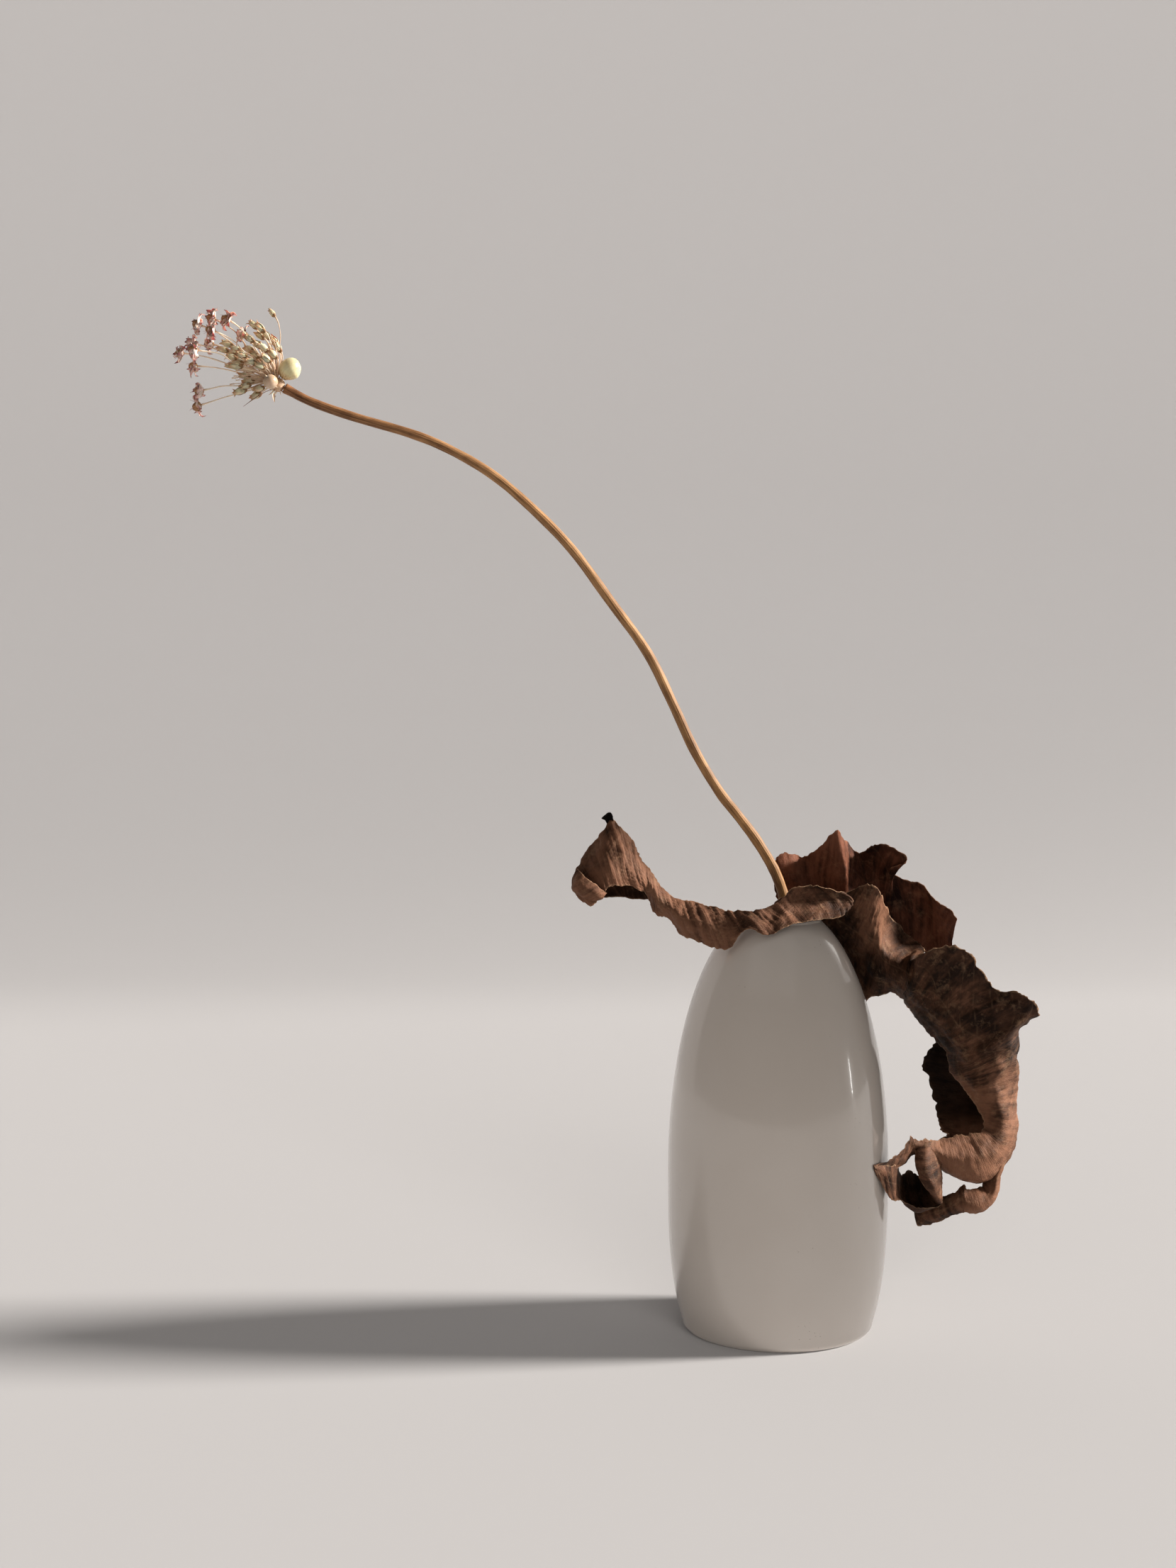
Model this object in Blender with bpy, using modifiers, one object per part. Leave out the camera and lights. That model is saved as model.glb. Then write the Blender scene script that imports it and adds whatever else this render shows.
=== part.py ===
"""Dried flowers in a vase: a ceramic bud vase that holds one arching garlic flower and three crumpled leaves.

The origin is the middle of the vase's flat base. +Z is up, +X is the side that the right-hand leaf hangs on,
and +Y is the back. Lengths are in millimetres until they reach Blender.
"""

import math

import bmesh
import bpy
from mathutils import Vector

MM = 0.001
CLEARANCE = 0.3

# Vase: a closed egg shape with a narrow round mouth.
VASE_RADIUS = 54.5
VASE_HEIGHT = 205.0
WIDEST_HEIGHT = 80.0
FOOT_RADIUS = 46.0
FOOT_EDGE = 4.0
MOUTH_RADIUS = 15.0
VASE_WALL = 3.5
FLOOR_THICKNESS = 6.0
ROUNDNESS = 2.2
VASE_STEPS = 36

# Flower stem and the knob at its tip that every flower stalk grows from.
STEM_DIAMETER = 5.3
STEM_TIP_DIAMETER = 4.2
STEM_SAMPLES = 3
STEM_FOOT_SHARE = 0.55
KNOB_DIAMETER = 6.8

# Flower heads.
PEDICEL_DIAMETER = 0.6
FLORET_DIAMETER = 5.6
FLORET_LENGTH = 7.5
BUD_DIAMETER = 3.6
BUD_LENGTH = 6.5
BULBIL_LARGE_DIAMETER = 10.6
BULBIL_SMALL_DIAMETER = 7.2
BULBIL_NECK = 1.6

# Leaves: thin dry sheets, each narrowing to a flat stalk.
LEAF_THICKNESS = 0.8
STALK_WIDTH = 4.0
STALK_DEPTH = 60.0
LEAF_SAMPLES = 2



def clear_scene():
    for old in list(bpy.data.objects):
        bpy.data.objects.remove(old, do_unlink=True)


def new_collection(name):
    made = bpy.data.collections.new(name)
    bpy.context.scene.collection.children.link(made)
    return made


def material(name, colour, roughness):
    made = bpy.data.materials.new(name)
    made.use_nodes = True
    shader = made.node_tree.nodes["Principled BSDF"]
    shader.inputs["Base Color"].default_value = (*colour, 1.0)
    shader.inputs["Roughness"].default_value = roughness
    shader.inputs["Metallic"].default_value = 0.0
    return made


def add_object(name, data, paint, collection):
    made = bpy.data.objects.new(name, data)
    data.materials.append(paint)
    collection.objects.link(made)
    return made


def catmull_rom(before, start, end, after, share):
    """The point at share between start and end on the smooth curve through all four."""
    return 0.5 * (
        2 * start
        + (end - before) * share
        + (2 * before - 5 * start + 4 * end - after) * share**2
        + (3 * start - before - 3 * end + after) * share**3
    )


def smooth_through(points, samples):
    """Points along a smooth curve through the given ones, samples of them to each stretch."""
    padded = [2 * points[0] - points[1], *points, 2 * points[-1] - points[-2]]
    curve = []
    for index in range(1, len(padded) - 2):
        for step in range(samples):
            curve.append(catmull_rom(*padded[index - 1 : index + 3], step / samples))
    return [*curve, points[-1]]


def bezier(points, count):
    """count + 1 points along the cubic Bezier curve with these four handles."""
    a, b, c, d = points
    shares = [step / count for step in range(count + 1)]
    return [a * (1 - t) ** 3 + b * 3 * t * (1 - t) ** 2 + c * 3 * t**2 * (1 - t) + d * t**3 for t in shares]


# ---------------------------------------------------------------- vase


def outer_radius(height):
    """The vase's outer radius, a rounded bell above the widest height and a blunter one below it."""
    if height >= WIDEST_HEIGHT:
        lip_share = (MOUTH_RADIUS + VASE_WALL) / VASE_RADIUS
        reach = (VASE_HEIGHT - WIDEST_HEIGHT) / (1 - lip_share**ROUNDNESS) ** (1 / 2)
        fall = ((height - WIDEST_HEIGHT) / reach) ** 2
    else:
        foot_share = FOOT_RADIUS / VASE_RADIUS
        reach = WIDEST_HEIGHT / (1 - foot_share**ROUNDNESS) ** (1 / 3)
        fall = ((WIDEST_HEIGHT - height) / reach) ** 3
    return VASE_RADIUS * (1 - fall) ** (1 / ROUNDNESS)


def inner_point(height):
    """The point one wall thickness in from the outer surface at this height, square to the surface."""
    slope = outer_radius(height + 0.1) - outer_radius(height - 0.1)
    normal = Vector((0.2, -slope)).normalized()
    return Vector((outer_radius(height), height)) - normal * VASE_WALL


def vase_profile():
    """Radius and height from the middle of the inner floor, up the inside, over the lip, down to the base."""
    lip_height = VASE_HEIGHT - VASE_WALL / 2
    neck_height = lip_height - VASE_WALL / 2
    outside = [(outer_radius(FOOT_EDGE), FOOT_EDGE)]
    inside = [inner_point(FLOOR_THICKNESS + FOOT_EDGE)]
    for share in (0.04, 0.1, 0.18, 0.3, 0.45, 0.59, 0.7, 0.79, 0.86, 0.92, 0.96, 0.985):
        height = FOOT_EDGE + share * (lip_height - FOOT_EDGE)
        outside.append((outer_radius(height), height))
        inside.append(inner_point(height))
    lip_radius = outer_radius(lip_height)
    middle = (lip_radius + MOUTH_RADIUS) / 2
    reach = (lip_radius - MOUTH_RADIUS) / 2
    lip = []
    for step in range(7):
        angle = math.pi - step * math.pi / 6
        lip.append((middle + reach * math.cos(angle), lip_height + VASE_WALL / 2 * math.sin(angle)))
    foot = []
    for step in range(1, 4):
        angle = step * math.pi / 6
        foot_drop = FOOT_EDGE * (1 - math.sin(angle))
        foot.append((outside[0][0] - FOOT_EDGE * (1 - math.cos(angle)), foot_drop))
    floor_edge = inside[0][0] - FOOT_EDGE
    return [
        (0, FLOOR_THICKNESS),
        (floor_edge, FLOOR_THICKNESS),
        *inside,
        (MOUTH_RADIUS, neck_height),
        *lip,
        *reversed(outside),
        *foot,
        (0, 0),
    ]


def turned(name, profile, steps, paint, collection):
    """A solid turned about its own Z axis from (radius, height) points that run down its outer side."""
    mesh = bpy.data.meshes.new(name)
    points = [(radius * MM, 0, height * MM) for radius, height in profile]
    mesh.from_pydata(points, [(index, index + 1) for index in range(len(points) - 1)], [])
    made = add_object(name, mesh, paint, collection)
    screw = made.modifiers.new("Screw", "SCREW")
    screw.steps = steps
    screw.render_steps = steps
    screw.use_merge_vertices = True
    screw.merge_threshold = 0.00001
    return made


def make_vase(paint, collection):
    return turned("vase", vase_profile(), VASE_STEPS, paint, collection)


# ---------------------------------------------------------------- flower stem and its head

# (x, y, height above the rim), from the mouth to just below the knob.
STEM_PATH = [
    (4.5, 2, 0),
    (2.9, 2, 8),
    (-0.6, 1.5, 18.5),
    (-5, 1, 27.5),
    (-12.6, 0.5, 39.5),
    (-21, 0, 50.5),
    (-30, 0, 62),
    (-42, 0, 82),
    (-52.5, 0, 104.5),
    (-65, 0, 129.5),
    (-83, 0, 154.5),
    (-102, 0, 180),
    (-121.5, 0, 200),
    (-140.5, 0, 216),
    (-160, 0, 227.5),
    (-179, 0, 235.5),
    (-208, 0, 244),
    (-228, 0, 251),
]
KNOB_AT = Vector((-244.3, 0, VASE_HEIGHT + 259.3))


def tube(name, points, radii, sides, paint, collection):
    """A tube along points in millimetres, with a radius at each, and closed ends."""
    curve = bpy.data.curves.new(name, "CURVE")
    curve.dimensions = "3D"
    curve.bevel_depth = MM
    curve.bevel_resolution = (sides - 4) // 2
    curve.use_fill_caps = True
    spline = curve.splines.new("POLY")
    spline.points.add(len(points) - 1)
    for target, point, radius in zip(spline.points, points, radii):
        target.co = (*(point * MM), 1.0)
        target.radius = radius
    return add_object(name, curve, paint, collection)


def make_stem(paint, collection):
    above = [Vector((x, y, VASE_HEIGHT + rise)) for x, y, rise in STEM_PATH]
    foot = Vector((STEM_FOOT_SHARE * VASE_RADIUS, above[0].y, FLOOR_THICKNESS + CLEARANCE))
    knee = foot + Vector((0, 0, 0.12 * VASE_HEIGHT))
    middle = knee.lerp(above[0], 0.5) + Vector((2.5, 0, 0))
    into_knob = (KNOB_AT - above[-1]).normalized()
    tip = KNOB_AT - into_knob * (KNOB_DIAMETER / 2 + CLEARANCE)
    path = [foot, foot.lerp(knee, 0.5), knee, middle, *above, tip]
    curve = smooth_through(path, STEM_SAMPLES)
    taper = (STEM_TIP_DIAMETER - STEM_DIAMETER) / (2 * (len(curve) - 1))
    radii = [STEM_DIAMETER / 2 + taper * index for index in range(len(curve))]
    return tube("allium_stem", curve, radii, 8, paint, collection)


def make_knob(paint, collection):
    mesh = bpy.data.meshes.new("umbel_base")
    cage = bmesh.new()
    bmesh.ops.create_uvsphere(cage, u_segments=12, v_segments=8, radius=KNOB_DIAMETER / 2 * MM)
    cage.to_mesh(mesh)
    cage.free()
    made = add_object("umbel_base", mesh, paint, collection)
    made.location = KNOB_AT * MM
    return made


# Places of the flower heads from the knob's middle, (x, y, z), and the way that each one faces.
FLORETS = [
    (-40, -3, 29),
    (-34, 3, 33),
    (-33, -6, 26),
    (-26, -2, 32),
    (-20, 7, 26),
    (-44, 5, 20.5),
    (-49, -2, 15),
    (-41, -9, 16),
    (-43, 2, 9),
    (-39.5, -2, -3.5),
    (-41.5, 4, -10.5),
    (-36, 10, 21),
]
DRY_BUDS = [
    (-3, 2, 35),
    (-13, 6, 30),
    (-8.5, -3, 27.5),
    (-2.5, 4, 22),
    (-25, 0, 20),
    (-21.5, 12, 14.5),
    (-20, -6, 8.5),
    (-10.5, 1, 20),
    (-18.5, -3, -3.5),
    (-12, 4, -5),
]
# (share of the head's length, share of its widest radius) along a closed, withered flower.
HEAD_OUTLINE = [(0.12, 0.5), (0.35, 0.95), (0.6, 1.0), (0.85, 0.6), (1.0, 0.25)]
SIDE_SPREAD = 3.0
LIFT = 6.0


def flower(name, place, diameter, length, paint, collection):
    """One flower on its own stalk: the stalk leaves the knob, arches over, and widens into the flower."""
    offset = Vector(place)
    spread = Vector((offset.x, SIDE_SPREAD * offset.y, offset.z + LIFT)).normalized()
    root = KNOB_AT + spread * (KNOB_DIAMETER / 2 + CLEARANCE)
    facing = (offset.normalized() + Vector((-0.5, 0, -0.25))).normalized()
    neck = KNOB_AT + offset - facing * length / 2
    reach = (neck - root).length
    stalk = bezier([root, root + spread * reach * 0.35, neck - facing * reach * 0.3, neck], 6)
    head = [neck + facing * length * share for share, _ in HEAD_OUTLINE]
    radii = [PEDICEL_DIAMETER / 2] * len(stalk) + [diameter / 2 * share for _, share in HEAD_OUTLINE]
    return tube(name, stalk + head, radii, 6, paint, collection)


def make_flowers(pink, beige, collection):
    for number, place in enumerate(FLORETS, 1):
        flower(f"flower_{number:02d}", place, FLORET_DIAMETER, FLORET_LENGTH, pink, collection)
    for number, place in enumerate(DRY_BUDS, 1):
        flower(f"dry_bud_{number:02d}", place, BUD_DIAMETER, BUD_LENGTH, beige, collection)


def bulbil(name, facing, diameter, paint, collection):
    """A drop-shaped bulbil whose narrow end sits on the knob and whose far end has a small nub."""
    direction = Vector(facing).normalized()
    radius = diameter / 2
    neck = BULBIL_NECK / 2
    length = 1.18 * diameter
    outline = [(0, length), (0.14 * radius, 0.99 * length), (0.22 * radius, 0.93 * length)]
    for share in (0.84, 0.68, 0.5, 0.34, 0.2, 0.09):
        swell = math.sin(math.pi * share**0.85)
        outline.append((neck + (radius - neck) * swell, share * length))
    outline += [(neck, 0.02 * length), (neck, 0), (0, 0)]
    made = turned(name, outline, 14, paint, collection)
    made.location = (KNOB_AT + direction * (KNOB_DIAMETER / 2 + CLEARANCE)) * MM
    made.rotation_mode = "QUATERNION"
    made.rotation_quaternion = direction.to_track_quat("Z", "Y")
    return made


def make_bulbils(paint, collection):
    bulbil("bulbil_large", (8.5, 0, 8), BULBIL_LARGE_DIAMETER, paint, collection)
    bulbil("bulbil_small", (-3.1, -8, 0.9), BULBIL_SMALL_DIAMETER, paint, collection)


def make_bracts(paint, collection):
    """Two dry slips left of the sheath that wrapped the head, hanging below the knob."""
    for number, (place, width) in enumerate((((-15, -2, -10), 1.4), ((-1, -1, -7), 1.8)), 1):
        offset = Vector(place)
        root = KNOB_AT + offset.normalized() * (KNOB_DIAMETER / 2 + CLEARANCE)
        tip = KNOB_AT + offset
        path = [root.lerp(tip, share) for share in (0, 0.25, 0.55, 0.8, 1)]
        radii = [width * share / 2 for share in (0.6, 1, 1, 0.6, 0.2)]
        tube(f"bract_{number:02d}", path, radii, 6, paint, collection)


# ---------------------------------------------------------------- leaves

# A leaf is a row of ribs across it. A rib is a row of (x, y, height above the rim) points, from one edge of
# the leaf to the other. Each leaf's first ribs are its stalk.
LEFT_LEAF = [
    ((-3, -13, 9), (-1, -13, 7.5), (1, -13, 6), (3.5, -13, 5)),
    ((5, -11, 13), (6, -11.5, 10), (7, -12, 7.5), (8, -12, 5)),
    ((16, -7, 15), (16, -8, 12), (17, -9, 8), (17, -9, 4)),
    ((25, -5, 15), (26, -6, 12), (26, -7, 8), (25, -7, 4)),
    ((27, -9, 15), (28, -12, 12), (27, -13, 7), (27, -11, 3)),
    ((17, -12, 17), (16, -17, 13), (17, -19, 8), (17, -18, 2)),
    ((6, -14, 17), (6, -18, 12), (7, -21, 6), (8, -23, 1)),
    ((-1, -17, 10), (-1, -20, 5), (-1, -23, 1), (-1, -25, -3)),
    ((-15, -20, 5), (-16, -24, 2), (-17, -26, -1), (-18, -27, -3)),
    ((-24, -17, 5), (-24, -22, 0), (-24, -24, -6), (-25, -24, -12)),
    ((-31, -14, 6), (-31, -20, 0), (-31, -22, -6), (-31, -21, -13)),
    ((-40, -10, 8), (-41, -17, 3), (-41, -20, -3), (-41, -16, -10)),
    ((-53, -7, 11), (-54, -11, 8), (-54, -12, 5), (-54, -6, 0)),
    ((-63, -4, 22), (-64, -10, 18), (-63, -9, 13), (-64, -2, 8)),
    ((-72, -1, 38), (-73, -9, 28), (-73, -13, 20), (-72, 2, 11)),
    ((-83, 2, 48), (-84, -8, 34), (-84, -15, 20), (-83, -1, 12)),
    ((-88, 1, 40), (-89, -6, 30), (-88, -13, 20), (-88, -6, 12)),
    ((-95, 1, 32), (-96, -7, 25), (-96, -13, 19), (-95, -15, 12)),
    ((-100, -6, 24), (-101, -10, 22), (-102, -14, 19), (-101, -17, 16)),
]
BACK_LEAF = [
    ((-1, 13, 10), (1.5, 13, 9), (4, 13, 8), (6.5, 13, 7)),
    ((-2, 12, 21), (1, 12, 16), (4, 12, 12), (7, 12, 9)),
    ((0, 14, 29), (3, 11, 23), (6, 11, 16), (10, 13, 9)),
    ((8, 17, 30), (9, 13, 24), (12, 12, 17), (15, 14, 9)),
    ((13, 17, 28), (15, 18, 22), (17, 17, 16), (19, 16, 9)),
    ((21, 11, 34), (22, 15, 26), (23, 17, 17), (25, 17, 9)),
    ((29, 9, 42), (31, 10, 30), (32, 13, 19), (33, 15, 9)),
    ((35, 21, 36), (38, 22, 27), (39, 21, 17), (39, 20, 6)),
    ((42, 27, 29), (45, 28, 20), (47, 26, 10), (46, 24, -2)),
    ((50, 20, 33), (51, 26, 21), (52, 29, 8), (53, 28, -6)),
    ((59, 11, 28), (57, 24, 17), (58, 29, 6), (59, 30, -10)),
    ((58, 27, 18), (62, 31, 10), (65, 32, 1), (66, 32, -16)),
    ((73, 24, 14), (76, 31, 4), (78, 35, -8), (80, 36, -23)),
    ((85, 18, 3), (86, 25, -5), (87, 31, -14), (88, 35, -24)),
    ((90, 16, -3), (91, 22, -8), (91, 28, -14), (90, 33, -21)),
]
RIGHT_LEAF = [
    ((16, 5, 8), (14.5, 8, 6.5), (13, 11, 5.5), (12, 14, 4.5), (10.5, 17, 3.5)),
    ((25, 3, 11), (22, 7.5, 7.5), (19, 13, 3.5), (16, 19, 0), (13, 24, -6)),
    ((34, 2, 12), (30, 7, 8), (26, 14, 2), (22, 21, -6), (19, 28, -16)),
    ((40, -4, 16), (38, 2, 7), (36, 11, -4), (34, 22, -17), (32, 31, -30)),
    ((46, -6, 16), (45, 0, 3), (44, 12, -13), (44, 20, -30), (43, 23, -45)),
    ((51, 0, 10), (50, 6, -2), (49, 10, -16), (49, 13, -31), (50, 21, -43)),
    ((59, 18, -4), (55, 15, -11), (53, 10, -19), (55, 11, -31), (58, 22, -43)),
    ((73, 24, -18), (66, 14, -21), (61, 3, -26), (61, 6, -34), (63, 22, -45)),
    ((68, -6, -18), (67, -6, -24), (66, -3, -31), (66, 4, -40), (66, 19, -48)),
    ((82, -12, -12), (79, -10, -20), (75, -7, -32), (72, 1, -44), (71, 16, -55)),
    ((92, -8, -16), (88, -9, -24), (82, -8, -34), (77, -1, -48), (75, 16, -60)),
    ((97, 3, -26), (93, -5, -32), (87, -8, -41), (82, -2, -53), (79, 16, -64)),
    ((106, 7, -34), (100, -4, -39), (92, -9, -47), (86, -3, -58), (82, 16, -67)),
    ((122, -6, -38), (115, -9, -47), (104, -10, -57), (92, -4, -67), (86, 15, -75)),
    ((127, 2, -49), (118, -5, -53), (106, -10, -62), (94, -5, -71), (86, 13, -79)),
    ((119, 26, -57), (121, 8, -58), (109, -9, -66), (96, -4, -75), (88, 11, -82)),
    ((101, 35, -63), (121, 18, -68), (110, -7, -73), (98, -4, -79), (90, 9, -84)),
    ((82, 33, -74), (121, 23, -82), (112, -1, -84), (101, -4, -88), (95, 6, -91)),
    ((80, 30, -91), (121, 26, -100), (114, 2, -100), (106, -5, -100), (101, 2, -99)),
    ((84, 29, -108), (119, 21, -116), (113, 1, -115), (105, -7, -111), (100, -2, -106)),
    ((87, 22, -113), (106, 14, -133), (100, -6, -130), (94, -11, -118), (89, -4, -108)),
    ((82, 14, -114), (92, 8, -133), (88, -6, -128), (84, -12, -118), (81, -5, -109)),
    ((68, 2, -113), (71, -2, -123), (70, -9, -123), (67, -12, -117), (65, -8, -111)),
    ((64, -11, -129), (64, -12, -123), (63, -11, -118), (63, -9, -114), (62, -7, -109)),
    ((56, -19, -132), (55, -20, -127), (55, -20, -122), (55, -19, -117), (55, -18, -112)),
    ((50, -26, -127), (49, -27, -123), (48, -27, -120), (47, -27, -116), (47, -26, -113)),
    ((44, -32, -116), (43, -33, -115), (43, -33, -113), (42, -34, -112), (42, -34, -111)),
]
# The torn lobe that curls out below the right-hand leaf and ends in a point.
LOWER_LOBE = [
    ((107, 4, -119), (110, 2, -119), (112, 2, -118), (116, 6, -118)),
    ((105, 8, -128), (106, 4, -129), (109, 2, -129), (111, 4, -129)),
    ((103, 6, -134), (104, 0, -136), (106, -2, -137), (108, 2, -139)),
    ((100, 2, -135), (99, -3, -138), (99, -4, -142), (99, 0, -146)),
    ((85, 0, -139), (84, -3, -142), (84, -4, -145), (85, -2, -149)),
    ((75, 2, -144), (74, 0, -147), (75, -1, -150), (76, 0, -152)),
    ((69, 4, -147), (68, 3, -150), (69, 3, -153), (70, 4, -157)),
]


def stalk_ribs(angle, turn, across):
    """Ribs of a flat stalk that stands against the inside of the mouth at this angle, from its cut end up.

    turn is 1 when the leaf's first edge is clockwise of its stalk seen from above, else -1.
    """
    outward = Vector((math.cos(angle), math.sin(angle), 0))
    sideways = Vector((-outward.y, outward.x, 0)) * turn * STALK_WIDTH / 2
    middle = outward * (MOUTH_RADIUS - 2 * CLEARANCE - LEAF_THICKNESS / 2)
    ribs = []
    for height in (-STALK_DEPTH, -STALK_DEPTH / 2, -VASE_WALL, 0, VASE_WALL):
        centre = middle + Vector((0, 0, VASE_HEIGHT + height))
        shares = [2 * step / (across - 1) - 1 for step in range(across)]
        ribs.append([centre + sideways * share for share in shares])
    return ribs


def clear_of_vase(point):
    """The point moved sideways until a leaf there is clear of the vase wall, in the mouth or outside it."""
    gap = CLEARANCE + LEAF_THICKNESS
    if point.z >= VASE_HEIGHT + gap:
        return point
    radius = math.hypot(point.x, point.y)
    if radius > MOUTH_RADIUS + VASE_WALL / 2:
        wanted = max(radius, outer_radius(min(point.z, VASE_HEIGHT)) + gap)
    else:
        wanted = min(radius, MOUTH_RADIUS - CLEARANCE - LEAF_THICKNESS / 2)
    return Vector((point.x * wanted / radius, point.y * wanted / radius, point.z))


def leaf(name, stalk, blade, paint, collection):
    """A dry leaf, or a lobe of one: a smooth sheet through its ribs, thickened to a closed solid."""
    ribs = stalk + [[Vector((x, y, VASE_HEIGHT + rise)) for x, y, rise in rib] for rib in blade]
    across = [smooth_through(rib, LEAF_SAMPLES) for rib in ribs]
    along = [smooth_through(list(line), LEAF_SAMPLES) for line in zip(*across)]
    rows = len(along[0])
    points = [clear_of_vase(point) * MM for line in along for point in line]
    faces = []
    for line in range(len(along) - 1):
        for row in range(rows - 1):
            first = line * rows + row
            faces.append((first, first + 1, first + rows + 1, first + rows))
    mesh = bpy.data.meshes.new(name)
    mesh.from_pydata(points, [], faces)
    mesh.shade_smooth()
    made = add_object(name, mesh, paint, collection)
    shell = made.modifiers.new("Solidify", "SOLIDIFY")
    shell.thickness = LEAF_THICKNESS * MM
    shell.offset = 0
    return made


def joined(whole, addition, cutters):
    """The first solid with the second one united to it, which becomes a hidden helper."""
    for collection in list(addition.users_collection):
        collection.objects.unlink(addition)
    cutters.objects.link(addition)
    addition.hide_render = True
    addition.display_type = "WIRE"
    union = whole.modifiers.new("Union", "BOOLEAN")
    union.operation = "UNION"
    union.object = addition


def make_leaves(dark, red, collection, cutters):
    leaf("leaf_left", stalk_ribs(math.radians(-95), 1, 4), LEFT_LEAF, dark, collection)
    leaf("leaf_back", stalk_ribs(math.radians(75), -1, 4), BACK_LEAF, red, collection)
    right = leaf("leaf_right", stalk_ribs(math.radians(42), 1, 5), RIGHT_LEAF, dark, collection)
    lobe = leaf("leaf_right_lobe", [], LOWER_LOBE, dark, collection)
    joined(right, lobe, cutters)


def main():
    clear_scene()
    collection = new_collection("dried_flowers_in_vase")
    cutters = new_collection("cutters")
    cutters.hide_render = True
    glaze = material("white_glaze", (0.72, 0.70, 0.67), 0.22)
    straw = material("dry_stem", (0.42, 0.27, 0.12), 0.6)
    dark_leaf = material("dry_leaf_dark", (0.09, 0.045, 0.03), 0.7)
    red_leaf = material("dry_leaf_red", (0.16, 0.06, 0.035), 0.7)
    pink = material("dry_petal_pink", (0.45, 0.24, 0.27), 0.8)
    beige = material("dry_petal_beige", (0.62, 0.47, 0.33), 0.8)
    cream = material("bulbil_skin", (0.75, 0.62, 0.38), 0.35)
    make_vase(glaze, collection)
    make_leaves(dark_leaf, red_leaf, collection, cutters)
    make_stem(straw, collection)
    make_knob(straw, collection)
    make_bulbils(cream, collection)
    make_bracts(beige, collection)
    make_flowers(pink, beige, collection)


main()
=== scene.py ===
"""Looks for the dried flowers in a vase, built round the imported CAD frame.

Shapes are worked out in mm, in the CAD's axes, and become metres when a mesh is made.
The lights and the stage are in metres.
"""

import math

import bpy
import numpy as np
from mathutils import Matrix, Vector, noise


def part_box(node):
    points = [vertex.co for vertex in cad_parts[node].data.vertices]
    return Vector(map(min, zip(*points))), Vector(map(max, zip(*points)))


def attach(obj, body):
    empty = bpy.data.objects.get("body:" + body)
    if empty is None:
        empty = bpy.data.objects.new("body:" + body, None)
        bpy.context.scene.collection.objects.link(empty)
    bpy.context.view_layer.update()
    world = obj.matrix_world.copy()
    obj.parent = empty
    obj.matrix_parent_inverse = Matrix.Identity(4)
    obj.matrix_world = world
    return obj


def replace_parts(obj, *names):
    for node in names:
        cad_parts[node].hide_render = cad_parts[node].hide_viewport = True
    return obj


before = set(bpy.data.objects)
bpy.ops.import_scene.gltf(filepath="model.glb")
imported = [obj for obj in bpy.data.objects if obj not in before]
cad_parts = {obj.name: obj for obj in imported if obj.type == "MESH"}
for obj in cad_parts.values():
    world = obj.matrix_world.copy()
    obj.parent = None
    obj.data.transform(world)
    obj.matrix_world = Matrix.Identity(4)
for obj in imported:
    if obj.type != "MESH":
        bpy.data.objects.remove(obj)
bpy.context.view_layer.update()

MM = 0.001
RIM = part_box("vase")[1][2]
VASE_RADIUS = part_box("vase")[1][0]
# In mm: the vase's wall, mouth radius and floor, as in the CAD, and a dry leaf's thickness.
WALL = 3.5
MOUTH = 15.0
FLOOR = 6.0
LEAF = 0.3


# ---------------- materials


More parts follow.
